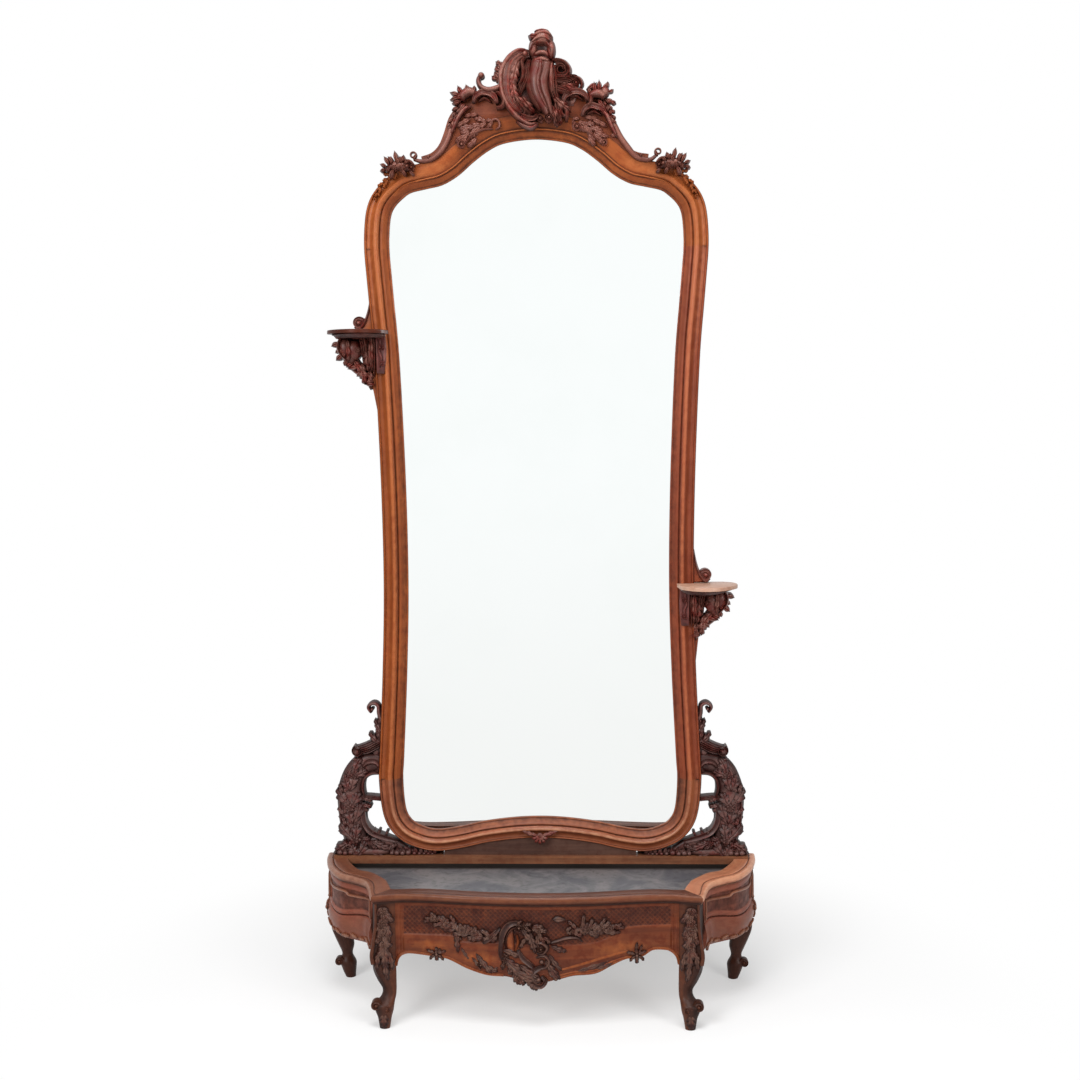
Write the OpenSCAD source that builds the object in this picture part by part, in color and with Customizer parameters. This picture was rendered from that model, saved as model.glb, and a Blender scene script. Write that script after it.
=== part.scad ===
// Pier mirror: a tall shaped glass in a moulded hardwood frame with a carved crest, two side
// shelves and scrolled consoles, standing on a low shaped plant stand with a lift-out zinc liner.
// X runs to the right as seen, Y towards the wall, Z up. The origin is on the floor in the middle.

/* [Stand] */
// Width over the top rim, at the wall
base_w = 1204; // [1100:4:1320]
// Depth from the front of the rim to the wall plane
base_d = 400; // [370:5:440]
// Height of the top of the rim
base_h = 351; // [330:1:390]
// Thickness of the rim
rim_t = 24; // [18:1:30]
// Width of the rim along each side
rim_side_w = 64; // [52:1:74]
// Width of the rim along the front
rim_front_w = 48; // [38:1:56]
// Distance between the two pointed front corners of the rim
corner_w = 856; // [790:4:900]
// How far the rim stands out over the aprons
rim_over = 14; // [9:1:20]
// Thickness of the apron boards
apron_t = 20; // [15:1:26]
// Clear height under the aprons, beside the legs
leg_h = 187; // [165:1:215]
// How far the front apron hangs below the leg height, in the middle
apron_dip = 64; // [35:1:80]
// Half width of a front leg at its ankle
ankle_r = 18.5; // [15:0.5:23]
// Half width of a front foot at its scroll
toe_r = 26; // [22:0.5:31]
// Thickness of the bottom board of the stand
board_t = 18; // [12:1:24]
// Thickness of the zinc sheet
zinc_t = 2; // [1:0.5:3]
// Clearance around the liner
zinc_gap = 1.5; // [1:0.25:3]

/* [Mirror frame] */
// Height of the lower edge of the glass opening above the rim, in the middle
sight_rise = 113; // [104:1:130]
// Height of the glass opening, in the middle
sight_h = 1858; // [1650:1:2000]
// Width of the glass opening at the shoulders
sight_w = 796; // [720:4:840]
// Width of the glass opening at the waist
waist_w = 720; // [660:4:760]
// Width of the glass opening at the foot
sight_foot_w = 766; // [720:4:800]
// Rise of the arched top above the shoulders
arch_rise = 128; // [100:2:150]
// Width of the frame moulding
frame_w = 67; // [58:1:76]
// Width of the bottom rail, in the middle
bottom_rail_w = 58; // [52:1:68]
// Thickness of the frame moulding
frame_t = 46; // [38:1:54]
// Thickness of the glass
glass_t = 5; // [3:0.5:7]
// Thickness of the boards behind the glass
backboard_t = 8; // [6:1:12]
// Thickness of the rail that the frame stands on
plinth_t = 6; // [4:1:10]

/* [Crest] */
// Height of the crest above the frame moulding
crest_h = 211; // [180:1:240]
// Width of the crest board over its shoulders
crest_w = 620; // [560:5:660]
// Thickness of the crest board
crest_t = 40; // [30:1:44]
// How far the crest carving stands out in front of the frame
crest_relief = 34; // [24:1:46]

/* [Shelves and consoles] */
// Height of the top of the left shelf
left_shelf_h = 1815; // [1500:5:1850]
// Height of the top of the right shelf
right_shelf_h = 1122; // [1050:5:1450]
// Length of a shelf, across the mirror
shelf_w = 164; // [145:1:180]
// Depth of a shelf
shelf_d = 150; // [130:1:165]
// Thickness of a shelf
shelf_t = 10; // [8:1:14]
// Height of the scrolled consoles beside the frame
console_h = 470; // [420:5:520]
// How far a console stands out beside the frame
console_w = 127; // [105:1:140]
// Thickness of the consoles
console_t = 40; // [32:1:46]

/* [Hidden] */
walnut = "#b5652f";
walnut_dark = "#6b4130";
pine = "#c9a877";
zinc = "#69737a";
steel = "#8f9498";
silver = "#dfe6e6";

// ---------------------------------------------------------------- curves
function last(p) = p[len(p) - 1];
function unit(v) = v / norm(v);
function flip(p) = [for (i = [len(p) - 1:-1:0]) p[i]];
function flip_x(p) = [for (q = p) [-q[0], q[1]]];

// A smooth curve through points b and c, with a and d as their outer neighbours.
function blend(a, b, c, d, t) =
  0.5 * (2 * b + (c - a) * t + (2 * a - 5 * b + 4 * c - d) * t * t
         + (3 * b - a - 3 * c + d) * t * t * t);
// The same through a whole list, n steps to a stretch. The curve leaves both ends straight.
function smooth(p, n) = let (m = len(p)) [
  for (i = [0:m - 2], k = [0:n - 1])
    blend(i > 0 ? p[i - 1] : 2 * p[0] - p[1], p[i], p[i + 1],
          i < m - 2 ? p[i + 2] : 2 * p[m - 1] - p[m - 2], k / n),
  p[m - 1]];
// The left-hand normals of a polyline, averaged at its points.
function normals(p) = [for (i = [0:len(p) - 1])
  let (d = unit(p[min(i + 1, len(p) - 1)] - p[max(i - 1, 0)])) [-d[1], d[0]]];
// A polyline moved sideways by d, to its right.
function beside(p, d) = let (m = normals(p)) [for (i = [0:len(p) - 1]) p[i] - m[i] * d];

// ---------------------------------------------------------------- solids
// A closed skin through rings of points, flat at both ends. The list ends_of splits an end that
// isn't convex into faces that spread from their first point.
module loft(rings, ends_of = []) {
  n = len(rings[0]);
  m = len(rings);
  ends = len(ends_of) > 0 ? ends_of : [[for (j = [0:n - 1]) j]];
  polyhedron(
    points = [for (r = rings, q = r) q],
    faces = concat(
      ends,
      [for (e = ends) concat([e[0]], [for (j = [len(e) - 1:-1:1]) e[j]])
        + [for (j = e) (m - 1) * n]],
      [for (i = [0:m - 2], j = [0:n - 1])
        let (k = (j + 1) % n) [i * n + j, (i + 1) * n + j, (i + 1) * n + k]],
      [for (i = [0:m - 2], j = [0:n - 1])
        let (k = (j + 1) % n) [i * n + j, (i + 1) * n + k, i * n + k]]));
}
// An upright plate from a shape in X and Z, its back at y and its front t nearer the viewer.
module plate(y, t) {
  translate([0, y, 0]) rotate([90, 0, 0]) linear_extrude(t) children();
}
// A level plate from a shape in X and Y.
module level(z, t) {
  translate([0, 0, z]) linear_extrude(t) children();
}
module both_sides() {
  children();
  mirror([1, 0, 0]) children();
}
// A stem of varying width along a curve, from width w0 to w1, n steps to a stretch.
module stem(p, w0, w1, n = 4) {
  c = smooth(p, n);
  m = normals(c);
  k = len(c) - 1;
  polygon(concat(
    [for (i = [0:k]) c[i] + m[i] * (w0 + (w1 - w0) * i / k) / 2],
    [for (i = [k:-1:0]) c[i] - m[i] * (w0 + (w1 - w0) * i / k) / 2]));
}
// A leaf with lobed sides: it leaves point p at angle a and turns by the angle bend to its tip.
function leaf_at(p, a, reach, bend, t) =
  p + reach * t * [cos(a + bend * t / 2), sin(a + bend * t / 2)];
module leaf(p, a, reach, w, bend = 30, lobes = 4) {
  k = 2 * lobes;
  function half(i) = w / 2 * pow(sin(180 * pow(i / k, 0.8)), 0.6) * (i % 2 == 1 ? 1 : 0.68);
  function side(i, s) = let (t = i / k, q = a + bend * t)
    leaf_at(p, a, reach, bend, t) + s * half(i) * [-sin(q), cos(q)];
  polygon(concat([leaf_at(p, a, reach, bend, 0)], [for (i = [1:k - 1]) side(i, -1)],
                 [leaf_at(p, a, reach, bend, 1)], [for (i = [k - 1:-1:1]) side(i, 1)]));
}
module boss(p, r) {
  translate(p) circle(r, $fn = 32);
}
// Joins flat shapes into one outline and takes off feather edges that a carver couldn't leave.
thinnest = 1.6;
module eased() {
  offset(delta = thinnest / 2) offset(delta = -thinnest / 2) children();
}

// ---------------------------------------------------------------- heights and depths
wall_y = base_d / 2;
strap_room = 8; // depth left at the back for the straps and the backboards
frame_back = wall_y - strap_room;
frame_front = frame_back - frame_t;
backboard_y = frame_back + backboard_t;
glass_y = frame_back - 10; // back of the glass
rim_z = base_h - rim_t; // underside of the rim
plinth_z = base_h + plinth_t; // where the frame stands
sight_z = base_h + sight_rise;
sight_top = sight_z + sight_h;
crest_z = sight_top + frame_w; // top of the frame moulding
crest_face = frame_back - crest_t;

// ---------------------------------------------------------------- mirror frame
bottom_dip = 37; // how far the lower edge of the opening sinks beside the middle
foot_h = 109; // from the lower edge of the opening up to its widest place at the foot
shoulder_h = 160; // from the shoulders down to the widest place
foot_z = sight_z + foot_h;
shoulder_z = sight_top - arch_rise;
broad_z = shoulder_z - shoulder_h;
stile_h = broad_z - foot_z;
half_foot = sight_foot_w / 2;
half_waist = waist_w / 2;
half_top = sight_w / 2;
// The right half of the glass opening, from the middle of the bottom to the middle of the top:
// the bottom rail, then the stile, then the arched top.
bottom_pts = [
  [0, sight_z], [half_foot * 0.2, sight_z - bottom_dip * 0.1],
  [half_foot * 0.42, sight_z - bottom_dip * 0.4], [half_foot * 0.6, sight_z - bottom_dip * 0.81],
  [half_foot * 0.757, sight_z - bottom_dip], [half_foot * 0.87, sight_z - bottom_dip * 0.72],
  [half_foot * 0.945, sight_z - bottom_dip * 0.2], [half_foot * 0.985, sight_z + foot_h * 0.26],
  [half_foot, foot_z]];
stile_pts = [for (s = [[0.045, 0.17, 0], [0.21, 0.7, 0], [0.374, 1, 0], [0.57, 0.92, 1],
                       [0.79, 0.61, 1], [0.90, 0.29, 1], [0.955, 0.12, 1]])
  [half_waist + (1 - s[1]) * ((s[2] == 1 ? half_top : half_foot) - half_waist),
   foot_z + s[0] * stile_h]];
top_pts = concat(
  [for (s = [[1, 1], [0.996, 0.66], [0.982, 0.42], [0.953, 0.28], [0.9, 0.15], [0.844, 0.06]])
    [half_top * s[0], shoulder_z - s[1] * shoulder_h]],
  [for (s = [[0.739, 0], [0.631, 0.08], [0.523, 0.27], [0.417, 0.55], [0.309, 0.79],
             [0.2, 0.93], [0, 1]])
    [half_top * s[0], shoulder_z + s[1] * arch_rise]]);
half_pts = concat(bottom_pts, stile_pts, top_pts);
steps = 2; // steps to each stretch
ring_pts = concat([[-half_pts[1][0], half_pts[1][1]]], half_pts,
                  [[-half_pts[len(half_pts) - 2][0], half_pts[len(half_pts) - 2][1]]]);
all_steps = smooth(ring_pts, steps);
half_curve = [for (i = [steps:len(all_steps) - 1 - steps]) all_steps[i]];
half_count = len(half_curve) - 1;
foot_i = steps * (len(bottom_pts) - 1);
broad_i = steps * (len(bottom_pts) + len(stile_pts));
free_normals = [for (m = normals([for (i = [steps - 1:len(all_steps) - steps]) all_steps[i]])) -m];
// The outward direction at each station. The frame's joints are cut level.
function outward(i) = i == foot_i || i == broad_i ? [1, 0] : free_normals[i + 1];
function member_w(i) = i >= foot_i ? frame_w
  : bottom_rail_w + (frame_w - bottom_rail_w) * pow(i / foot_i, 3);
function station(i, d) = half_curve[i] + outward(i) * d;
// The frame moulding: share of its width from the glass outwards, share of its depth.
rebate_w = 0.16;
rebate_h = (frame_back - glass_y + glass_t) / frame_t;
moulding = [
  [rebate_w, 0], [rebate_w, rebate_h], [0, rebate_h], [0, 0.46], [0.16, 0.55], [0.33, 0.74],
  [0.375, 0.62], [0.43, 0.84], [0.57, 0.99], [0.68, 0.84], [0.8, 0.68], [0.89, 0.72],
  [0.93, 0.85], [0.975, 0.85], [1, 0.72], [1, 0]];
// Under the crest the hollow and the outer bead run out into the flat ground of the board.
ground_h = 0.87;
flat_start = broad_i + 7 * steps;
flat_full = broad_i + 9 * steps;
function flatness(i) = let (t = min(1, max(0, (i - flat_start) / (flat_full - flat_start))))
  t * t * (3 - 2 * t);
function moulding_h(k, i) = k < 9 || k > 14 ? moulding[k][1]
  : moulding[k][1] + (ground_h - moulding[k][1]) * flatness(i);
function ring(i) = [for (k = [0:len(moulding) - 1])
  let (q = station(i, moulding[k][0] * member_w(i)))
    [q[0], frame_back - moulding_h(k, i) * frame_t, q[1]]];
function ring_left(i) = [for (q = ring(i)) [-q[0], q[1], q[2]]];
function outer_half() = [for (i = [0:half_count]) station(i, member_w(i))];
function loop(half) = concat(half, flip(flip_x([for (i = [1:len(half) - 2]) half[i]])));
stile_edge = [for (i = [0:half_count]) let (q = station(i, member_w(i))) if (i >= foot_i
  && i <= broad_i) [q[1], q[0]]];
// Half the width over the frame at height z, between the foot and the shoulders.
function edge_x(z) = lookup(z, stile_edge);

moulding_end = [[0, 6, 15], [0, 1, 6], [1, 2, 3, 4, 5, 6], [15, 6, 7, 8, 9, 10, 11, 12, 13, 14]];

module frame_outline() {
  polygon(loop(outer_half()));
}
module frame_member(first, end) {
  loft([for (i = [first:end]) ring(i)], moulding_end);
}
module whole_member(first, end) {
  loft(first == 0
    ? concat([for (i = [end:-1:1]) ring_left(i)], [for (i = [0:end]) ring(i)])
    : concat([for (i = [first:end]) ring(i)], [for (i = [end - 1:-1:first]) ring_left(i)]),
    moulding_end);
}
module top_rail() {
  color(walnut) whole_member(broad_i, half_count);
}
module bottom_rail() {
  color(walnut) whole_member(0, foot_i);
}
module right_stile() {
  color(walnut) frame_member(foot_i, broad_i);
}
module left_stile() {
  color(walnut) mirror([1, 0, 0]) frame_member(foot_i, broad_i);
}
rebate_d = rebate_w * frame_w;
glass_gap = 1.5; // play of the glass in its rebate
module mirror_glass() {
  color(silver) plate(glass_y, glass_t)
    polygon(loop([for (i = [0:half_count]) station(i, rebate_d - glass_gap)]));
}
block_l = 34;
block_w = 8;
module glass_blocks() {
  color(pine) both_sides() for (i = [foot_i + 1:2:broad_i - 1]) {
    a = atan2(outward(i)[1], outward(i)[0]);
    q = station(i, 0.5);
    translate([q[0], glass_y, q[1]]) rotate([0, -a, 0])
      translate([0, 0, -block_l / 2]) cube([block_w, frame_back - glass_y, block_l]);
  }
}
board_edge = 0.62; // share of the frame's width that the backboards cover
board_count = 4;
board_gap = 2;
screw_every = 3;
screw_at = [for (i = [1:screw_every:half_count - 1]) station(i, member_w(i) * 0.4)];
module each_screw() {
  both_sides() for (q = screw_at) translate([q[0], backboard_y, q[1]]) rotate([90, 0, 0])
    children();
}
module backboards() {
  low = sight_z - bottom_dip - bottom_rail_w;
  board_h = (crest_z - low) / board_count;
  color(pine) difference() {
    plate(backboard_y, backboard_t) intersection() {
      polygon(loop([for (i = [0:half_count]) station(i, member_w(i) * board_edge)]));
      for (k = [0:board_count - 1])
        translate([-base_w / 2, low + k * board_h]) square([base_w, board_h - board_gap]);
    }
    each_screw() translate([0, 0, -1]) cylinder(d = screw_d, h = backboard_t + 2, $fn = 24);
    each_screw() translate([0, 0, -1]) cylinder(d = head_d, h = 1 + head_t, $fn = 24);
  }
}
screw_d = 4;
head_d = 8.4;
head_t = 2;
screw_l = 24;
module wood_screw() {
  cylinder(d = head_d, h = head_t, $fn = 24);
  cylinder(d = screw_d, h = screw_l, $fn = 24);
}
module backboard_screws() {
  color(steel) each_screw() wood_screw();
}

// ---------------------------------------------------------------- crest
// The crest is drawn at this size, from the middle of the top of the frame moulding.
drawn_crest = [620, 211];
module on_crest() {
  translate([0, crest_z]) scale([crest_w / drawn_crest[0], crest_h / drawn_crest[1]]) children();
}
// A carving that lies against the crest board, passes over the frame and stands out from it.
module applied(relief) {
  plate(crest_face, crest_face - frame_front) eased() difference() {
    children();
    frame_outline();
  }
  plate(frame_front, relief) eased() children();
}
crest_left = [[-306, -112], [-278, -102], [-258, -82], [-244, -50], [-230, -10], [-206, 22],
              [-186, 40], [-143, 48], [-92, 72], [-78, 112], [-40, 140], [12, 156]];
crest_right = [[12, 156], [52, 118], [84, 76], [124, 50], [170, 50], [194, 30], [202, -6],
               [212, -34], [228, -66], [248, -90], [272, -106], [304, -112]];
left_bead = [[-318, -118], [-292, -110], [-266, -92], [-250, -68], [-238, -36]];
right_bead = [[318, -116], [290, -112], [262, -98], [238, -76], [222, -48]];
bead_t = 6;
module crest_bead() {
  stem(left_bead, 9, 8);
  stem(right_bead, 9, 8);
  boss([-324, -108], 11);
  boss([322, -106], 11);
}
module crest_board() {
  color(walnut) {
    plate(frame_back, crest_t) difference() {
      on_crest() polygon(concat(smooth(crest_left, 3), smooth(crest_right, 3),
                                [[300, -135], [-300, -135]]));
      frame_outline();
    }
    plate(frame_back, crest_t + bead_t) difference() {
      on_crest() crest_bead();
      frame_outline();
    }
  }
}
wing = [[-27, 147], [-56, 139], [-75, 117], [-80, 82], [-75, 44], [-61, 9], [-40, -16], [-8, -28]];
module cartouche_shape(more) {
  on_crest() {
    stem(wing, 24 + more, 28 + more);
    stem([[-26, 148], [-34, 77], [-22, 28], [-2, -12]], 66 + more, 44 + more);
    stem([[10, 150], [10, 89], [18, 52], [31, 19], [42, -16]], 62 + more, 22 + more);
    stem([[47, 98], [74, 79], [106, 59]], 60 + more, 24 + more);
    stem([[47, 67], [56, 17], [70, -24]], 44 + more, 30 + more);
    boss([18, 176], 35 + more / 2);
    boss([-8, 172], 20 + more / 2);
    boss([76, 104], 18 + more / 2);
    boss([110, 72], 15 + more / 2);
  }
}
module crest_cartouche() {
  color(walnut_dark) {
    applied(crest_relief) cartouche_shape(0);
    plate(frame_front - crest_relief, crest_relief / 3) on_crest() {
      stem([[10, 150], [10, 89], [18, 52], [31, 19], [42, -10]], 36, 12);
      stem(wing, 12, 18);
      boss([-4, -26], 12);
      boss([78, 104], 9);
    }
  }
}
module left_curls() {
  on_crest() {
    stem([[-141, 87], [-146, 72], [-130, 57], [-106, 57], [-85, 67]], 13, 18);
    leaf([-78, 94], 148, 34, 22, 0, 2);
    stem([[-164, 21], [-149, 39], [-127, 45], [-104, 36], [-91, 21]], 20, 20);
    stem([[-207, 21], [-217, -8], [-224, -38]], 26, 12);
    for (a = [100, 150, 200]) leaf([-188, 36], a, 40, 22, 20, 2);
    boss([-190, 36], 20);
    stem([[-188, 30], [-150, 50], [-104, 57]], 26, 20);
  }
}
module right_curls() {
  on_crest() {
    stem([[78, 28], [88, 42], [110, 48], [134, 40], [147, 25]], 19, 19);
    stem([[129, -8], [152, 9], [181, -5]], 15, 15);
    stem([[190, 30], [201, -1], [210, -32]], 22, 12);
    for (a = [50, 90, 130]) leaf([174, 46], a, 42, 22, -16, 2);
    boss([176, 42], 22);
    stem([[176, 34], [140, 48], [108, 54]], 26, 20);
  }
}
module crest_left_scroll() {
  color(walnut_dark) applied(crest_relief * 0.55) difference() {
    left_curls();
    cartouche_shape(1);
  }
}
module crest_right_scroll() {
  color(walnut_dark) applied(crest_relief * 0.55) difference() {
    right_curls();
    cartouche_shape(1);
  }
}
spray_t = 8;
// The frame up to the foot of its ridge, which stands above the flat ground.
module ridge_outline() {
  polygon(loop([for (i = [0:half_count]) station(i, member_w(i) * moulding[9][0] + 1)]));
}
module spray() {
  on_crest() {
    leaf([96, -10], 350, 120, 34, -30, 5);
    leaf([130, -24], 318, 96, 30, -14, 5);
    leaf([110, -28], 330, 60, 22, 20, 3);
  }
}
// The sprays lie on the flat ground of the board and of the frame below it.
module crest_right_spray() {
  color(walnut_dark) plate(frame_back - ground_h * frame_t, spray_t)
    eased() difference() {
      spray();
      ridge_outline();
      right_curls();
      cartouche_shape(1);
      on_crest() stem(right_bead, 12, 10);
    }
}
module crest_left_spray() {
  color(walnut_dark) plate(frame_back - ground_h * frame_t, spray_t)
    eased() difference() {
      mirror([1, 0]) spray();
      ridge_outline();
      left_curls();
      cartouche_shape(1);
      on_crest() stem(left_bead, 12, 10);
    }
}
// The shoulder leaves trail over the outer corner of the frame.
shoulder_i = broad_i + 4 * steps;
drawn_frame = 67; // width of the frame at which the leaves are drawn
module shoulder_leaf() {
  c = station(shoulder_i, frame_w * 0.75);
  difference() {
    plate(frame_back - frame_t * 0.3, frame_t * 0.7) eased() difference() {
      shoulder_shape(c);
      frame_outline();
    }
    plate(frame_back, crest_t + 9) crest_end();
  }
  plate(frame_front, 14) eased() shoulder_shape(c);
}
module shoulder_shape(c) {
  translate(c) scale(frame_w / drawn_frame) {
    leaf([0, 0], 155, 78, 34, 30, 4);
    leaf([0, 0], 95, 56, 28, -30, 3);
    leaf([6, -4], 40, 44, 26, -40, 3);
    leaf([4, -10], 300, 92, 28, -18, 5);
    boss([2, 2], 15);
  }
}
module crest_end() {
  on_crest() {
    polygon(concat(smooth(crest_right, 3), [[304, -135], [0, -135]]));
    stem(right_bead, 10, 9);
    boss([322, -106], 12);
    mirror([1, 0]) {
      polygon(concat(smooth(crest_left, 3), [[0, -135], [-306, -135]]));
      stem(left_bead, 10, 9);
      boss([-324, -108], 12);
    }
  }
}
module right_shoulder_leaf() {
  color(walnut_dark) shoulder_leaf();
}
module left_shoulder_leaf() {
  color(walnut_dark) mirror([1, 0, 0]) shoulder_leaf();
}

// ---------------------------------------------------------------- shelves
shelf_side = 0.29; // share of the shelf that lies across the frame
shelf_gap = 0.4;
drawn_shelf = 164; // length of the shelf at which its bracket and volute are drawn
shelf_back = frame_back - 6;
function shelf_edge(z) = max(edge_x(z), edge_x(z - shelf_t)) + shelf_gap;
// A board with rounded ends, a pointed inner tip and a notch around the stile.
module shelf(z) {
  x = shelf_edge(z);
  front = shelf_back - shelf_d;
  outline = smooth([[x - shelf_w * shelf_side, front + shelf_d * 0.62],
    [x - shelf_w * 0.22, front + shelf_d * 0.3], [x - shelf_w * 0.05, front + shelf_d * 0.08],
    [x + shelf_w * 0.18, front], [x + shelf_w * 0.42, front + shelf_d * 0.1],
    [x + shelf_w * 0.62, front + shelf_d * 0.34], [x + shelf_w * 0.71, front + shelf_d * 0.62],
    [x + shelf_w * 0.66, front + shelf_d * 0.88], [x + shelf_w * 0.5, shelf_back]], 4);
  level(z - shelf_t, shelf_t) difference() {
    polygon(concat(outline, [[x, shelf_back], [x, frame_front - shelf_gap],
                             [x - shelf_w * shelf_side, frame_front - shelf_gap]]));
    translate([x - shelf_w, frame_front - shelf_gap]) square([shelf_w, frame_t * 2]);
  }
}
// A strip along the frame's outer edge, from height z0 to z1, that narrows to nothing.
module edge_strip(z0, z1, w) {
  zs = [for (k = [0:8]) z0 + (z1 - z0) * k / 8];
  polygon(concat([for (z = zs) [edge_x(z) - 1, z]],
                 [for (k = [7:-1:0]) [edge_x(zs[k]) + w * (1 - pow(k / 8, 2)), zs[k]]]));
}
// The bracket below a shelf: a pierced flat part beside the stile, a rounded lump in front of it
// and a thin panel on the stile.
module bracket(z) {
  place = [shelf_edge(z), z - shelf_t];
  plate(frame_back - 4, frame_t * 0.9) eased() difference() {
    union() {
      edge_strip(place[1], place[1] - shelf_w, shelf_w / 14);
      translate(place) scale(shelf_w / drawn_shelf) {
        polygon(concat([[-20, 0]], smooth([[66, 0], [84, -16], [86, -36], [74, -56], [54, -70],
                                           [36, -88], [20, -108], [4, -134]], 3), [[-20, -140]]));
        for (s = [[80, -44, 300], [62, -58, 296], [44, -74, 300], [26, -92, 300]])
          leaf([s[0], s[1]], s[2], 34, 15, 14, 1);
      }
    }
    translate(place) scale(shelf_w / drawn_shelf) boss([30, -57], 6.5);
    translate([-base_w, place[1]]) square([2 * base_w, base_h]);
    frame_outline();
  }
  plate(frame_front, frame_t) eased() translate(place) scale(shelf_w / drawn_shelf) difference() {
    stem([[17, 6], [44, -12], [60, -32], [52, -54]], 40, 30);
    translate([-base_w, 0]) square([2 * base_w, base_h]);
  }
  plate(frame_front, 12) eased() translate(place) scale(shelf_w / drawn_shelf) difference() {
    stem([[-25, 6], [-27, -50], [-24, -108]], 26, 14);
    translate([-base_w, 0]) square([2 * base_w, base_h]);
  }
}
// The small scroll that stands on the shelf, and the wood that flares out to it from the stile.
module shelf_volute(z) {
  plate(frame_back - 4, frame_t * 0.7) eased() difference() {
    translate([edge_x(z + 30), z]) scale(shelf_w / drawn_shelf) difference() {
      union() {
        boss([33, 21], 15);
        polygon(concat([[-12, 0]], smooth([[36, 0], [34, 14], [20, 26], [9, 46], [3, 74]], 3),
                       [[-12, 100]]));
      }
      translate([-base_w, -base_h]) square([2 * base_w, base_h]);
    }
    frame_outline();
  }
}
module left_shelf() {
  color(walnut_dark) mirror([1, 0, 0]) shelf(left_shelf_h);
}
module right_shelf() {
  color(walnut) shelf(right_shelf_h);
}
module left_shelf_bracket() {
  color(walnut_dark) mirror([1, 0, 0]) bracket(left_shelf_h);
}
module right_shelf_bracket() {
  color(walnut_dark) bracket(right_shelf_h);
}
module left_shelf_volute() {
  color(walnut_dark) mirror([1, 0, 0]) shelf_volute(left_shelf_h);
}
module right_shelf_volute() {
  color(walnut_dark) shelf_volute(right_shelf_h);
}

// ---------------------------------------------------------------- consoles
// A console is drawn at this size, out from the frame's edge at the foot, up from the plinth rail.
drawn_console = [127, 470];
module console() {
  plate(frame_back - 2, console_t) eased() difference() {
    translate([edge_x(foot_z), plinth_z])
      scale([console_w / drawn_console[0], console_h / drawn_console[1]]) {
        stem([[88, 4], [66, 46], [60, 96], [72, 152], [70, 206], [48, 244], [12, 258], [-20, 260]],
             72, 44);
        stem([[116, 10], [70, 20], [6, 30]], 22, 60);
        stem([[10, 30], [-40, 28], [-106, 6]], 60, 16);
        stem([[70, 168], [30, 162], [-12, 166]], 18, 15);
        stem([[-20, 312], [24, 311], [46, 300], [54, 284]], 30, 20);
        stem([[4, 270], [-4, 340], [-14, 400], [-20, 460]], 54, 9);
        leaf([-14, 328], 6, 48, 26, 10, 3);
        leaf([-16, 352], 30, 46, 24, 10, 3);
        leaf([80, 120], 200, 66, 30, 20, 3);
        stem([[-16, 388], [-6, 402], [8, 414]], 18, 14);
        boss([12, 414], 14);
        boss([52, 288], 17);
        boss([92, 60], 13);
        boss([92, 100], 13);
      }
    translate([0, plinth_z - base_h]) square([base_w, base_h]);
    frame_outline();
  }
}
module right_console() {
  color(walnut_dark) console();
}
module left_console() {
  color(walnut_dark) mirror([1, 0, 0]) console();
}
// The board between the bottom rail and the plinth rail, set back from both.
filler_set = 14;
module filler_panel() {
  color(walnut_dark) plate(frame_back, frame_t - filler_set) difference() {
    translate([-half_foot * 0.7, plinth_z]) square([half_foot * 1.4, sight_rise]);
    frame_outline();
  }
}
module bottom_rail_shell() {
  c = [0, sight_z - bottom_rail_w * 0.8];
  color(walnut_dark) plate(frame_front, 9) {
    for (a = [-70:35:70]) leaf(c, 270 + a, 26, 13, 0, 2);
    leaf(c + [8, 4], 10, 44, 12, 12, 2);
    leaf(c + [-8, 4], 170, 44, 12, -12, 2);
    boss(c, 9);
  }
}

// ---------------------------------------------------------------- rim of the stand
half_base = base_w / 2;
corner_x = corner_w / 2;
rim_bow = 34; // how far the front edge sinks back between the middle and the corners
corner_y = rim_bow * 0.53 - wall_y;
// The right half of the rim's edge in plan: along the front, then from the corner to the wall.
front_pts = concat(
  [for (s = [[0, 0], [0.19, 0.09], [0.42, 0.38], [0.65, 0.85], [0.82, 1], [0.92, 0.76]])
    [corner_x * s[0], rim_bow * s[1] - wall_y]], [[corner_x, corner_y]]);
side_run = half_base - corner_x;
side_pts = [[corner_x, corner_y], [corner_x + side_run * 0.035, corner_y + base_d * 0.045],
            [corner_x + side_run * 0.1, corner_y + base_d * 0.18],
            [corner_x + side_run * 0.2, corner_y + base_d * 0.305],
            [corner_x + side_run * 0.41, corner_y + base_d * 0.392],
            [corner_x + side_run * 0.67, corner_y + base_d * 0.48],
            [corner_x + side_run * 0.87, corner_y + base_d * 0.643],
            [corner_x + side_run * 0.975, corner_y + base_d * 0.83], [half_base, wall_y]];
front_line = smooth(front_pts, 2);
side_line = smooth(side_pts, 2);
function slid(p, d) = [for (q = p) q + d];
// The corner in the rim's opening, where the mitres end.
inner_corner = [corner_x - rim_front_w * 0.92, corner_y + rim_front_w * 1.25];
back_rim_x = half_base - rim_side_w;
back_rim_y = frame_front - 1;
front_inner = [for (i = [0:len(front_line) - 1])
  let (t = i / (len(front_line) - 1), q = front_line[i])
    t == 1 ? inner_corner : [q[0] * inner_corner[0] / corner_x, q[1] + rim_front_w
      + (inner_corner[1] - corner_y - rim_front_w) * pow(t, 6)]];
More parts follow.
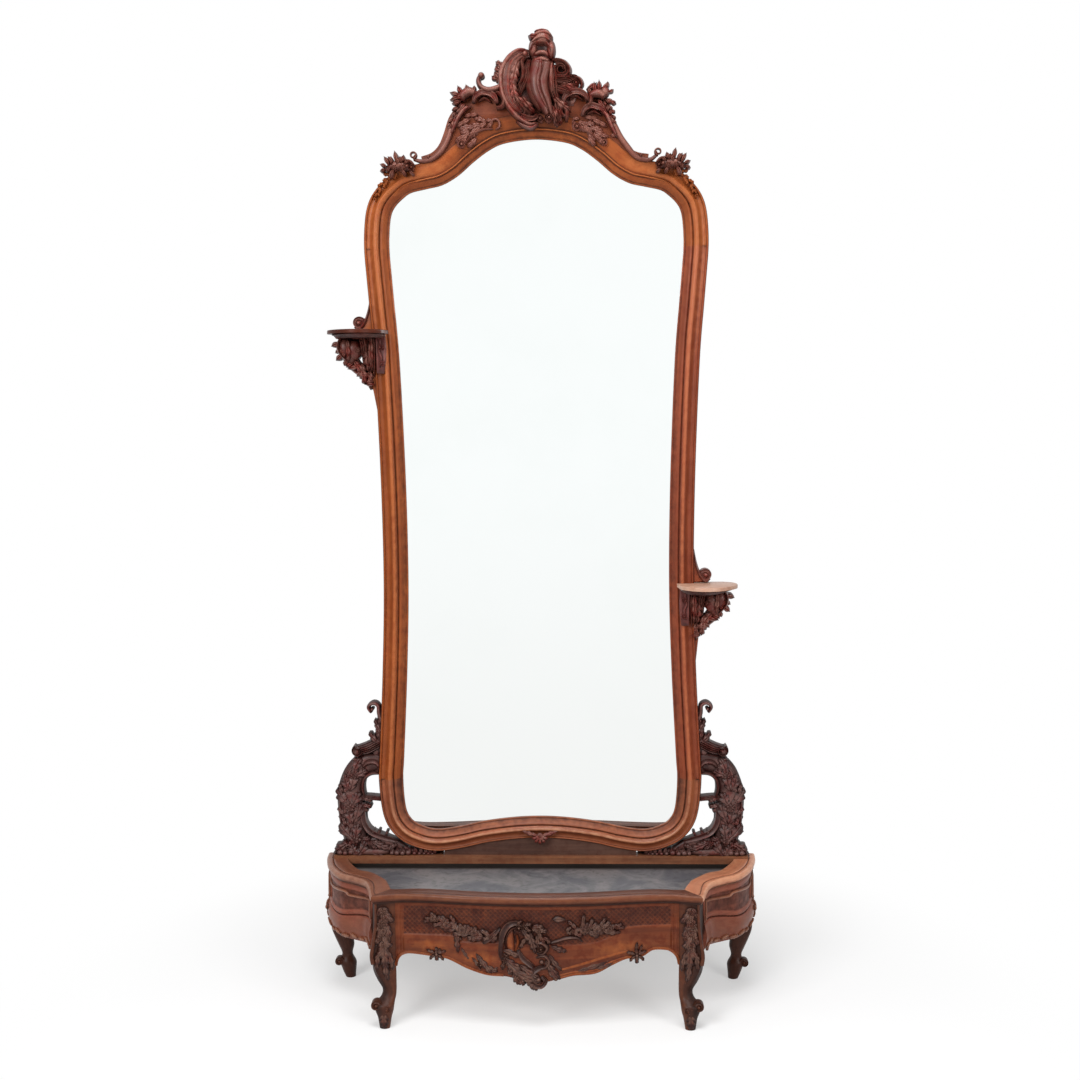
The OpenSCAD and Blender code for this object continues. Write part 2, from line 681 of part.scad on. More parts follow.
// The side rim's inner edge: from each point of the outer edge, as shares of the rim's width.
side_in_pts = concat([inner_corner], [for (i = [1:6])
    let (d = [[0, 0], [-0.69, 1], [-0.73, 0.6], [-0.8, 0.35], [-0.69, 0.72], [-0.85, 0.5],
              [-0.97, 0.22]][i]) side_pts[i] + rim_side_w * d],
  [[back_rim_x, back_rim_y], [back_rim_x, wall_y]]);
side_inner = smooth(side_in_pts, 2);
// Section of the rim, as shares of its thickness: in from its edge, up from its underside.
rim_edge = [[0.37, 0], [0.29, 0.2], [0.08, 0.36], [0, 0.5], [0, 0.72], [0.1, 0.92], [0.33, 1]];
function rim_ring(a, b) = let (d = unit(b - a)) concat(
  [for (e = rim_edge) let (q = a + d * e[0] * rim_t) [q[0], q[1], rim_z + e[1] * rim_t]],
  [[b[0], b[1], base_h], [b[0], b[1], rim_z]]);
function mirrored(r) = [for (q = r) [-q[0], q[1], q[2]]];
module front_rim() {
  k = len(front_line) - 1;
  right = [for (i = [0:k]) rim_ring(front_line[i], front_inner[i])];
  color(walnut) loft(flip(concat([for (i = [k:-1:1]) mirrored(right[i])], right)));
}
module side_rim() {
  loft([for (i = [len(side_line) - 1:-1:0]) rim_ring(side_line[i], side_inner[i])]);
}
module right_rim() {
  color(walnut) side_rim();
}
module left_rim() {
  color(walnut) mirror([1, 0, 0]) side_rim();
}
module back_rim() {
  color(walnut) translate([-back_rim_x, back_rim_y, rim_z])
    cube([2 * back_rim_x, frame_back - back_rim_y, rim_t]);
}
plinth_x = half_base - 24;
module plinth_rail() {
  color(walnut) translate([-plinth_x, back_rim_y, base_h])
    cube([2 * plinth_x, frame_back - back_rim_y, plinth_t]);
}

// ---------------------------------------------------------------- liner and bottom board
function tray_half(gap) = concat(
  [for (q = front_inner) if (q[0] < inner_corner[0] - 6) [q[0], q[1] + gap]],
  [inner_corner + [-gap, gap]],
  [for (q = side_inner) if (q[1] > inner_corner[1] + 6 && q[1] < back_rim_y - gap - 6)
    [q[0] - gap * 1.2, q[1]]],
  [[min(back_rim_x, last([for (q = side_inner) if (q[1] < back_rim_y) q])[0]) - gap * 1.2,
    back_rim_y - gap]]);
module tray_shape(gap) {
  half = tray_half(gap);
  polygon(concat(half, flip(flip_x([for (i = [1:len(half) - 1]) half[i]]))));
}
tray_wall = rim_t * 0.4; // the liner stays below the edge of the rim
module zinc_tray() {
  color(zinc) difference() {
    level(rim_z, tray_wall) tray_shape(zinc_gap);
    level(rim_z + zinc_t, tray_wall) tray_shape(zinc_gap + zinc_t);
  }
}
apron_line = slid(front_line, [0, rim_over]);
side_apron = [for (q = beside(side_line, -rim_over * 0.7)) [q[0], min(q[1], wall_y)]];
corner_in = [corner_x - rim_over * 0.8, corner_y + rim_over];
post_w = 48;
// The front post in plan: on the front apron, the corner, on the side apron, and inside.
post_front = let (x = corner_in[0] - post_w) [x, lookup(x, apron_line)];
side_by_y = [for (q = side_apron) [q[1], q[0]]];
post_side = let (y = corner_in[1] + post_w) [lookup(y, side_by_y), y];
post_in = [post_front[0] + 12, post_side[1] + 6];
back_post = 48;
back_x = half_base - rim_over * 0.7;
back_line_y = wall_y - back_post;
side_end = [lookup(back_line_y, side_by_y), back_line_y];
front_run = concat([for (q = apron_line) if (q[0] < post_front[0] - 4) q], [post_front]);
side_run_pts = concat([post_side], [for (q = side_apron) if (q[1] > post_side[1] + 4
  && q[1] < back_line_y - 4) q], [side_end]);
apron_back_y = frame_back - apron_t;
// The boards' inner faces, square to the ends at the posts.
front_inside = [for (i = [0:len(front_run) - 1]) i == len(front_run) - 1
  ? front_run[i] + unit(post_in - post_front) * apron_t : front_run[i] + [0, apron_t]];
side_off = beside(side_run_pts, -apron_t);
side_inside = [for (i = [0:len(side_run_pts) - 1])
  i == 0 ? post_side + unit(post_in - post_side) * apron_t
  : i == len(side_run_pts) - 1 ? side_end - [apron_t, 0] : side_off[i]];
module stand_inside(gap) {
  half = concat([for (q = front_inside) if (q[0] < post_front[0] - 8) q + [0, gap]],
    [post_in + [-14, gap + 2], post_in + [-gap - 1, 16]],
    [for (q = side_inside) if (q[1] > post_in[1] + 16 && q[1] < back_line_y - 4)
      q - [gap * 1.5, 0]],
    [[back_x - back_post - gap, back_line_y - gap], [back_x - back_post - gap,
      apron_back_y - gap]]);
  polygon(concat(half, flip(flip_x([for (i = [1:len(half) - 1]) half[i]]))));
}
fit_gap = 0.5;
module tray_board() {
  color(pine) level(rim_z - board_t, board_t) stand_inside(fit_gap);
}
bearer_w = 30;
bearer_h = 24;
module tray_bearers() {
  color(pine) level(rim_z - board_t - bearer_h, bearer_h) intersection() {
    stand_inside(0);
    for (x = [-corner_x * 0.62, 0, corner_x * 0.62])
      translate([x - bearer_w / 2, -wall_y]) square([bearer_w, base_d]);
  }
}

// ---------------------------------------------------------------- aprons
low_z = leg_h - apron_dip;
dip = apron_dip / 64; // against the depth at which the curve is drawn
// The lower edge of the front apron: place along the apron, drop below the leg height.
low_left = concat([[-post_front[0], 0]],
  [for (s = [[-0.76, -2], [-0.66, 2], [-0.54, 8], [-0.42, 30], [-0.3, 45], [-0.18, 48],
             [-0.07, 60], [0.02, 64], [0.13, 54], [0.22, 45], [0.35, 41], [0.45, 21],
             [0.54, 6], [0.63, 3], [0.7, -14], [0.78, -14]]) [corner_x * s[0], s[1] * dip]],
  [[post_front[0], 0]]);
low_curve = smooth(low_left, 3);
function low_at(x) = leg_h - lookup(x, low_curve);
low_side = 12; // how far the side aprons hang below the leg height, in the middle
function side_low(y) = let (t = (y - post_side[1]) / (back_line_y - post_side[1]))
  leg_h - low_side * sin(180 * t);
function panel_ring(a, b, low, top) = [
  [a[0], a[1], low], [a[0], a[1], top], [b[0], b[1], top], [b[0], b[1], low]];
// Even steps along the front apron, so that its lower edge stays smooth.
apron_steps = 56;
function front_x(i) = post_front[0] * (2 * i / apron_steps - 1);
apron_face = [for (i = [0:apron_steps]) let (x = front_x(i)) [x, lookup(abs(x), apron_line)]];
function face_y(x) = lookup(x, apron_face);
function front_ring(i, out, inside, low, top) = let (x = front_x(i), y = face_y(x))
  panel_ring([x, y - out], [x, y + inside], low, top);
module apron_front() {
  k = apron_steps;
  end_in = last(front_inside);
  color(walnut) loft([for (i = [k:-1:0])
    i == 0 ? panel_ring([-post_front[0], post_front[1]], [-end_in[0], end_in[1]],
                        low_at(front_x(0)), rim_z)
    : i == k ? panel_ring(post_front, end_in, low_at(front_x(k)), rim_z)
    : front_ring(i, 0, apron_t, low_at(front_x(i)), rim_z)]);
}
module side_board() {
  loft([for (i = [len(side_run_pts) - 1:-1:0])
    panel_ring(side_run_pts[i], side_inside[i], side_low(side_run_pts[i][1]), rim_z)]);
}
module apron_right() {
  color(walnut) side_board();
}
module apron_left() {
  color(walnut) mirror([1, 0, 0]) side_board();
}
back_low = leg_h + 10;
module apron_back() {
  color(walnut_dark) translate([-back_x + back_post, apron_back_y, back_low])
    cube([2 * (back_x - back_post), apron_t, rim_z - back_low]);
}
// A layer of even thickness on the face of the front apron, from depth a to depth b.
module face_layer(x0, x1, a, b) {
  xs = concat([x0], [for (q = apron_face) if (q[0] > x0 && q[0] < x1) q[0]], [x1]);
  level(0, rim_z) polygon(concat([for (x = xs) [x, face_y(x) - a]],
                                 [for (x = flip(xs)) [x, face_y(x) - b]]));
}
module applied_front(x0, x1, t) {
  intersection() {
    face_layer(x0, x1, 0, t);
    plate(0, base_d) eased() children();
  }
}
// The cartouche in the middle of the front apron: a leaf-edged scroll around a shell.
cart_x = corner_x * 0.235;
drawn_apron = [428, 204]; // half width and height of the apron at which its carvings are drawn
module on_apron() {
  translate([0, low_z])
    scale([corner_x / drawn_apron[0], (rim_z - low_z) / drawn_apron[1]]) children();
}
module apron_cartouche() {
  color(walnut_dark) applied_front(-cart_x, cart_x, rim_over - 2) on_apron() {
    stem([[-40, 180], [-70, 144], [-62, 94], [-30, 44], [10, 14]], 40, 26);
    stem([[-30, 174], [20, 164], [56, 130], [62, 84], [40, 40], [6, 14]], 30, 26);
    leaf([-20, 104], 290, 96, 76, 24, 5);
    leaf([20, 154], 20, 70, 36, -40, 4);
    leaf([-30, 164], 150, 56, 34, 40, 3);
    leaf([40, 74], 350, 54, 36, 40, 3);
    leaf([-52, 74], 190, 44, 36, 40, 3);
  }
}
garland_t = 9;
module garland() {
  for (k = [0:4]) {
    p = [120 + 43 * k, 150 + 9 * sin(90 * k)];
    leaf(p, 330 + 40 * (k % 2), 38, 22, 30, 3);
    leaf(p, 120 - 30 * (k % 2), 34, 20, -30, 3);
    boss(p, 13 - k);
  }
  stem([[111, 142], [154, 158], [214, 146], [291, 154]], 9, 6);
}
module apron_right_garland() {
  color(walnut_dark) applied_front(cart_x + 1, corner_x * 0.8, garland_t)
    on_apron() garland();
}
module apron_left_garland() {
  color(walnut_dark) mirror([1, 0, 0]) applied_front(cart_x + 1, corner_x * 0.8, garland_t)
    on_apron() garland();
}
edge_t = 5;
edge_h = 11;
module apron_edge_moulding() {
  k = apron_steps;
  clear = ceil((1 - cart_x / post_front[0]) * k / 2) - 1;
  color(walnut) {
    loft([for (i = [clear:-1:0])
      front_ring(i, edge_t, 0, low_at(front_x(i)), low_at(front_x(i)) + edge_h)]);
    loft([for (i = [k:-1:k - clear])
      front_ring(i, edge_t, 0, low_at(front_x(i)), low_at(front_x(i)) + edge_h)]);
  }
}
module apron_leaf_drops() {
  color(walnut_dark) for (x = [-corner_x * 0.62, corner_x * 0.61]) intersection() {
    face_layer(x - 30, x + 30, edge_t, edge_t + 6);
    plate(0, base_d) {
      leaf([x, low_at(x) + 26], 270, 36, 18, 0, 3);
      leaf([x, low_at(x) + 16], 200, 22, 12, 20, 2);
      leaf([x, low_at(x) + 16], 340, 22, 12, -20, 2);
    }
  }
}
// The raised moulding around the field of each side apron.
panel_t = 4;
panel_w = 12;
module side_band(first, end, t) {
  run = [for (i = [first:end]) side_run_pts[i]];
  polygon(concat(run, flip(beside(run, t))));
}
module panel_moulding() {
  k = len(side_run_pts) - 1;
  low = leg_h + 14;
  top = rim_z - 8;
  difference() {
    level(low, top - low) side_band(0, k, panel_t);
    level(low + panel_w, top - low - 2 * panel_w) difference() {
      side_band(0, k, panel_t * 3);
      translate([0, back_line_y - panel_w]) square([base_w, base_d]);
      translate([0, post_side[1] - base_d + panel_w]) square([base_w, base_d]);
    }
  }
}
module right_panel_moulding() {
  color(walnut) panel_moulding();
}
module left_panel_moulding() {
  color(walnut) mirror([1, 0, 0]) panel_moulding();
}

// ---------------------------------------------------------------- legs
leg_sides = 12;
leg_end = [[0, 1, 11], [3, 4, 2], [6, 7, 5], [9, 10, 8], [1, 2, 4, 5, 7, 8, 10, 11]];
// Even points around a four-sided post, three to a side.
function around(p) = [for (s = [0:3], t = [0, 1, 2])
  p[s] + (p[(s + 1) % 4] - p[s]) * t / 3];
function disc(c, rx, ry, from) = [for (j = [0:leg_sides - 1])
  let (a = from + 360 * j / leg_sides) c + [rx * cos(a), ry * sin(a)]];
function at_z(p, z) = [for (q = p) [q[0], q[1], z]];
knee_out = unit([0.62, -0.78]);
// The post keeps its flat joint faces down to the aprons' edge while its corner swells.
swell = post_w * 0.35;
function post_ring(d) = around([post_front, corner_in + knee_out * d, post_side,
                                    post_in]);
// Below the knee: share of the leg height, place from the corner as shares of the post's
// width, half width, share of the round.
front_shape = [
  [0.8, -0.4, 0.21, ankle_r * 1.73, 0.5], [0.66, -0.52, 0.17, ankle_r * 1.35, 0.9],
  [0.53, -0.65, 0.17, ankle_r, 1], [0.44, -0.62, 0.1, ankle_r * 1.03, 1],
  [0.38, -0.5, -0.04, ankle_r * 1.22, 1], [0.33, -0.4, -0.17, toe_r, 1],
  [0.25, -0.4, -0.21, toe_r * 0.92, 1], [0.16, -0.42, -0.23, ankle_r, 1],
  [0.07, -0.42, -0.23, ankle_r * 0.84, 1], [0, -0.42, -0.23, ankle_r * 0.73, 1]];
toe_depth = 0.85; // depth of the foot against its width
module front_leg() {
  loft(flip(concat(
    [for (s = [[0, 1], [0.1, 0.57], [0.7, 0.23], [1, 0]])
      at_z(post_ring(swell * s[0]), leg_h + (rim_z - leg_h) * s[1])],
    [for (s = front_shape)
      let (d = disc(corner_in + post_w * [s[1], s[2]], s[3], s[3] * toe_depth, 195),
           p = post_ring(swell))
      at_z([for (j = [0:leg_sides - 1]) p[j] * (1 - s[4]) + d[j] * s[4]], leg_h * s[0])])),
    leg_end);
}
// The same for a back leg: share of the height, place from the outer face, half width, round.
back_shape = [[0.78, 0.6, 0.62, 0.55], [0.63, 0.73, 0.54, 0.9], [0.5, 0.85, 0.46, 1],
              [0.36, 0.9, 0.31, 1], [0.24, 0.92, 0.5, 1], [0.16, 0.98, 0.44, 1],
              [0.08, 1.02, 0.37, 1], [0, 1.08, 0.29, 1]];
module back_leg() {
  p = around([[back_x - back_post, back_line_y], [back_x, back_line_y], [back_x, wall_y],
              [back_x - back_post, wall_y]]);
  loft(flip(concat(
    [at_z(p, rim_z), at_z(p, leg_h)],
    [for (s = back_shape)
      let (rx = s[2] * back_post, ry = min(rx, back_post / 2 - 1),
           d = disc([back_x - s[1] * back_post, wall_y - back_post / 2], rx, ry, 225))
      at_z([for (j = [0:leg_sides - 1]) p[j] * (1 - s[3]) + d[j] * s[3]], leg_h * s[0])])),
    leg_end);
}
module front_right_leg() {
  color(walnut) front_leg();
}
module front_left_leg() {
  color(walnut) mirror([1, 0, 0]) front_leg();
}
module back_right_leg() {
  color(walnut) back_leg();
}
module back_left_leg() {
  color(walnut) mirror([1, 0, 0]) back_leg();
}

// ---------------------------------------------------------------- straps behind the frame
strap_x = half_foot * 0.757;
strap_w = 34;
strap_t = 4;
strap_low = rim_z - 70;
strap_top = sight_z - bottom_dip - bottom_rail_w * (board_edge + 0.06);
strap_screw_z = [strap_low + 12, rim_z - 30, strap_top - 10];
module each_strap_screw() {
  both_sides() for (z = strap_screw_z)
    translate([strap_x, frame_back + strap_t, z]) rotate([90, 0, 0]) children();
}
module joining_straps() {
  color(steel) difference() {
    both_sides() translate([strap_x - strap_w / 2, frame_back, strap_low])
      cube([strap_w, strap_t, strap_top - strap_low]);
    each_strap_screw() translate([0, 0, -1]) cylinder(d = screw_d, h = strap_t + 2, $fn = 24);
    each_strap_screw() translate([0, 0, -1]) cylinder(d = head_d, h = 1 + head_t, $fn = 24);
  }
}
module strap_screws() {
  color(steel) each_strap_screw() {
    cylinder(d = head_d, h = head_t, $fn = 24);
    cylinder(d = screw_d, h = apron_t, $fn = 24);
  }
}

top_rail();
left_stile();
right_stile();
bottom_rail();
mirror_glass();
glass_blocks();
backboards();
backboard_screws();
crest_board();
crest_cartouche();
crest_left_scroll();
crest_right_scroll();
crest_left_spray();
crest_right_spray();
left_shoulder_leaf();
right_shoulder_leaf();
left_shelf();
left_shelf_bracket();
left_shelf_volute();
right_shelf();
right_shelf_bracket();
right_shelf_volute();
left_console();
right_console();
bottom_rail_shell();
filler_panel();
plinth_rail();
back_rim();
front_rim();
left_rim();
right_rim();
zinc_tray();
tray_board();
tray_bearers();
apron_front();
apron_left();
apron_right();
apron_back();
apron_cartouche();
apron_left_garland();
apron_right_garland();
apron_edge_moulding();
apron_leaf_drops();
left_panel_moulding();
right_panel_moulding();
front_left_leg();
front_right_leg();
back_left_leg();
back_right_leg();
joining_straps();
strap_screws();
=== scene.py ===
import math
import bpy
import numpy as np
from mathutils import Matrix, Vector
from mathutils.geometry import tessellate_polygon


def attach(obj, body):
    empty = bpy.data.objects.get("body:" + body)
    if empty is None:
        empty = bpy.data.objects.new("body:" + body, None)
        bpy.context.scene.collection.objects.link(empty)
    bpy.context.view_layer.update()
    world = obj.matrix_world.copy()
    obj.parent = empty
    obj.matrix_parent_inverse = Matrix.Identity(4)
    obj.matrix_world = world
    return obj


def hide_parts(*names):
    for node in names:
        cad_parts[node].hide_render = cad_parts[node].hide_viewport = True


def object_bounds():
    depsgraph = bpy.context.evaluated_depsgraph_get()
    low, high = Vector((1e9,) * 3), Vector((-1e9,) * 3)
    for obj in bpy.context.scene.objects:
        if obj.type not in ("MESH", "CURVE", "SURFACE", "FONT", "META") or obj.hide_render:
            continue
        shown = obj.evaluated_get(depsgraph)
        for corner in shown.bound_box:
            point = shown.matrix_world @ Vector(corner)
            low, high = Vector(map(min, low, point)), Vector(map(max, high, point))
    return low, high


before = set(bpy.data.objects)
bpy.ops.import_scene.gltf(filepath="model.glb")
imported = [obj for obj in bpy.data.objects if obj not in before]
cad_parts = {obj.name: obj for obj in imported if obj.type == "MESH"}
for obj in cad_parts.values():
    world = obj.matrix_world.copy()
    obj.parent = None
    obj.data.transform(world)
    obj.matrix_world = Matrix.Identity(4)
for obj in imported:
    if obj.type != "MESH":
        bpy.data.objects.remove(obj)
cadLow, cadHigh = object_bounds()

print("frame loaded")

# curves; lengths here are millimetres, as on the drawing, and become metres in pieceObject
mm = 0.001
root = "stand_and_frame"
carvedAngle = 50


def curveThrough(points, perStretch=8):
    # Smooth curve through all points, straight at both ends: each stretch is a cubic of its
    # two ends and their outer neighbours.
    p = np.asarray(points, float)
    q = np.vstack([2 * p[0] - p[1], p, 2 * p[-1] - p[-2]])
    a, b, c, d = (q[k:len(q) - 3 + k, None, :] for k in range(4))
    t = (np.arange(perStretch) / perStretch)[None, :, None]
    body = 0.5 * (2 * b + (c - a) * t + (2 * a - 5 * b + 4 * c - d) * t ** 2
                  + (3 * b - a - 3 * c + d) * t ** 3)
    return np.vstack([body.reshape(-1, p.shape[1]), p[-1:]])


def lengthsAlong(line):
    # Length of the line from its first point to each of its points.
    return np.concatenate([[0], np.cumsum(np.linalg.norm(np.diff(line, axis=0), axis=1))])


def evenly(line, count):
    # The same line with points at even distances.
    s = lengthsAlong(line)
    at = np.linspace(0, s[-1], count)
    return np.stack([np.interp(at, s, line[:, k]) for k in range(line.shape[1])], axis=1)


def leftNormals(line):
    # Unit normals to the left of a flat line.
    t = np.gradient(line, axis=0)
    t /= np.maximum(np.linalg.norm(t, axis=1), 1e-9)[:, None]
    return np.stack([-t[:, 1], t[:, 0]], axis=1)


def spiral(centre, radius, startAngle, turns, count, inner):
    # Points of a coil that closes in: the radius falls evenly from radius to inner times it.
    t = np.linspace(0, 1, count)
    a = np.radians(startAngle) + 2 * np.pi * turns * t
    r = radius * (1 - (1 - inner) * t)
    return [(centre[0] + r[k] * math.cos(a[k]), centre[1] + r[k] * math.sin(a[k]))
            for k in range(count)]


def easedStep(t):
    # A smooth step from 0 to 1: t squared times (3 - 2t), flat outside.
    t = np.clip(t, 0, 1)
    return t * t * (3 - 2 * t)


# shells: closed skins as whole arrays, with a relief value (0 sunk to 1 proud) and a grain map
def gridQuads(m, n):
    # Faces between m rings of n points each.
    i, j = np.meshgrid(np.arange(m - 1), np.arange(n), indexing="ij")
    k = (j + 1) % n
    return np.stack([i * n + j, i * n + k, (i + 1) * n + k, (i + 1) * n + j], axis=-1).reshape(-1, 4)


def ringShell(rings, relief, grain=None):
    # A closed skin over rings of points, with a fan from the middle point at both ends.
    m, n = rings.shape[:2]
    points = np.vstack([rings.reshape(-1, 3), rings[0].mean(0), rings[-1].mean(0)])
    j = np.arange(n)
    k = (j + 1) % n
    low = np.stack([k, j, np.full(n, m * n)], axis=-1)
    high = np.stack([j + (m - 1) * n, k + (m - 1) * n, np.full(n, m * n + 1)], axis=-1)
    relief = np.broadcast_to(relief, (m, n))
    relief = np.concatenate([relief.ravel(), [relief[0].min(), relief[-1].min()]])
    if grain is None:
        along = lengthsAlong(rings.mean(1))
        around = lengthsAlong(rings.mean(0))
        grain = np.stack(np.broadcast_arrays(along[:, None], around[None, :]), axis=-1)
    grain = np.vstack([grain.reshape(-1, 2), grain[0].mean(0), grain[-1].mean(0)])
    shell = {"points": points, "quads": gridQuads(m, n), "tris": np.vstack([low, high]),
             "relief": relief, "grain": grain}
    return facingOut(shell)


def facingOut(shell):
    # Turns every face round when the volume inside comes out negative.
    p = shell["points"]
    q, t = shell["quads"], shell["tris"]
    tris = np.vstack([q[:, [0, 1, 2]], q[:, [0, 2, 3]], t])
    a, b, c = (p[tris[:, k]] for k in range(3))
    if np.einsum("ij,ij->i", a - p[0], np.cross(b - p[0], c - p[0])).sum() < 0:
        shell["quads"] = q[:, ::-1]
        shell["tris"] = t[:, ::-1]
    return shell


def moved(shells, change):
    # The same shells with their points passed through change.
    return [facingOut({**s, "points": change(s["points"])}) for s in shells]


def mirrored(shells):
    # The other side: x changes its sign.
    return moved(shells, lambda p: p * [-1, 1, 1])


def placed(shells, x, y, z):
    # Shifted by x, y and z.
    return moved(shells, lambda p: p + [x, y, z])


def softened(shells, low, span):
    # The same shells with their relief pressed into low to low + span.
    return [{**s, "relief": low + span * s["relief"]} for s in shells]


def pieceObject(name, shells, material, replaced=(), sharp=38):
    # One object out of many shells, in metres, riding on the standing body.
    offsets = np.cumsum([0] + [len(s["points"]) for s in shells])
    points = np.vstack([s["points"] for s in shells]) * mm
    faces = []
    for s, o in zip(shells, offsets):
        faces += (s["quads"] + o).tolist() + (s["tris"] + o).tolist()
    mesh = bpy.data.meshes.new(name)
    mesh.from_pydata(points.tolist(), [], faces)
    relief = mesh.attributes.new("relief", "FLOAT", "POINT")
    relief.data.foreach_set("value", np.concatenate([s["relief"] for s in shells]).astype(np.float32))
    grain = np.vstack([s["grain"] for s in shells]) * mm
    corner = np.zeros(len(mesh.loops), np.int32)
    mesh.loops.foreach_get("vertex_index", corner)
    mesh.uv_layers.new(name="grain").data.foreach_set("uv", grain[corner].astype(np.float32).ravel())
    mesh.shade_smooth()
    mesh.set_sharp_from_angle(angle=math.radians(sharp))
    mesh.materials.append(material)
    piece = bpy.data.objects.new(name, mesh)
    bpy.context.scene.collection.objects.link(piece)
    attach(piece, root)
    if replaced:
        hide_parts(*replaced)


def carvedPiece(name, shells, material, *replaced):
    # Carved pieces keep softer creases than the joinery.
    pieceObject(name, shells, material, replaced, carvedAngle)


def bothSides(name, shells, material, *replaced, drawn="right", sharp=carvedAngle):
    # A piece and its mirror image; {} in the names stands for the side.
    for side in (drawn, "left" if drawn == "right" else "right"):
        pieceObject(name.format(side), shells if side == drawn else mirrored(shells), material,
                    tuple(node.format(side) for node in replaced), sharp)


# carved elements: drawn in x (right) and z (up), standing out of the plane y = 0 towards -y
def ribbon(path, half, cross, base, lean=0.0):
    # A band along a flat path: half widths to its left and right, and cross, the height of its
    # face at each station and share across, above base. lean draws the edges forward.
    m, n = cross.shape
    normal = leftNormals(path)
    along = np.stack([normal[:, 1], -normal[:, 0]], axis=1)
    half = np.broadcast_to(half, (2, m))
    u = np.linspace(-1, 1, n)
    side = np.where(u[None, :] < 0, u[None, :] * half[0][:, None], u[None, :] * half[1][:, None])
    forward = lean * np.abs(side) * np.abs(u)[None, :]
    face = path[:, None] + normal[:, None] * side[..., None] + along[:, None] * forward[..., None]
    back = face[:, [-1, 0], :]
    flat = np.concatenate([face, back], axis=1)
    height = np.concatenate([base + np.maximum(cross, 0.2), np.zeros((m, 2))], axis=1)
    rings = np.stack([flat[..., 0], -height, flat[..., 1]], axis=-1)
    span = max(cross.max(), 1e-6)
    relief = np.concatenate([np.clip(cross / span, 0, 1), np.full((m, 2), 0.5)], axis=1)
    grain = np.stack(np.broadcast_arrays(
        lengthsAlong(path)[:, None], np.concatenate([side[m // 2], side[m // 2, [-1, 0]]])[None, :]),
        axis=-1)
    return ringShell(rings, relief, grain)


def leaf(x, z, angle, reach, width, bend, lobes, height, base=0.0, tip=0.25, cut=0.4):
    # A lobed leaf: its middle line turns evenly by bend, its width swells and closes, each lobe is
    # a point that leans forward with a flute to it, and the midrib is a groove.
    m, n = 10 * lobes + 9, 17
    t = np.linspace(0, 1, m)
    a = np.radians(angle + bend * t)
    step = reach / (m - 1)
    path = [x, z] + np.vstack([[0, 0], np.cumsum(
        np.stack([np.cos(a), np.sin(a)], axis=1)[:-1], axis=0) * step])
    share = (lobes * t ** 0.92) % 1
    lobe = 1 - np.abs(2 * share ** 0.85 - 1) ** 1.7
    swell = np.sin(np.pi * np.clip(t, 0.03, 0.985) ** 0.72) ** 0.7
    half = width / 2 * swell * (1 - cut + cut * lobe)
    u = np.linspace(-1, 1, n)[None, :]
    body = height * (0.55 + 0.45 * np.sin(np.pi * np.clip(t + 0.12, 0, 1)) ** 0.6
                     + tip * t ** 3)[:, None]
    cross = 0.52 + 0.42 * (1 - np.abs(u) ** 2.2) - 0.16 * np.exp(-(u / 0.14) ** 2)
    flute = 0.22 * (lobe[:, None] - 0.6) * np.abs(u) ** 0.7 * (1 - 0.5 * u ** 6)
    front = body * (cross + flute) * (1 - 0.35 * u ** 8)
    return ribbon(path, half, front, base, 0.9)


def leaves(base, *rows):
    # Leaves that stand on one height, one to a row.
    return [leaf(*row, base) for row in rows]


def foliage(points, widths, height, count, base, lobes, turn, buds):
    # Pairs of leaves along a branch through x, z, x, z and so on, no two alike, and a small
    # flower after every few pairs.
    line = evenly(curveThrough(np.reshape(points, (-1, 2))), count + 1)
    heading = np.degrees(np.arctan2(*np.gradient(line, axis=0).T[::-1]))
    parts = []
    for k in range(count):
        w = float(np.interp(k / count, np.linspace(0, 1, len(widths)), widths))
        for side in (-1, 1):
            spread = 36 + 15 * math.sin(2.4 * k + turn + side)
            reach = 0.66 * w * (1 + 0.2 * math.sin(3.1 * k + 2 * side + turn))
            parts.append(leaf(*line[k], heading[k] + side * spread, reach, 0.4 * w, -30 * side,
                              lobes, height * (1 + 0.15 * math.sin(1.7 * k + side)), base))
        if buds and k % buds == 1:
            parts += flower(*line[k], 0.24 * w, 5, height * 1.2, 40 * k, base)
    return parts


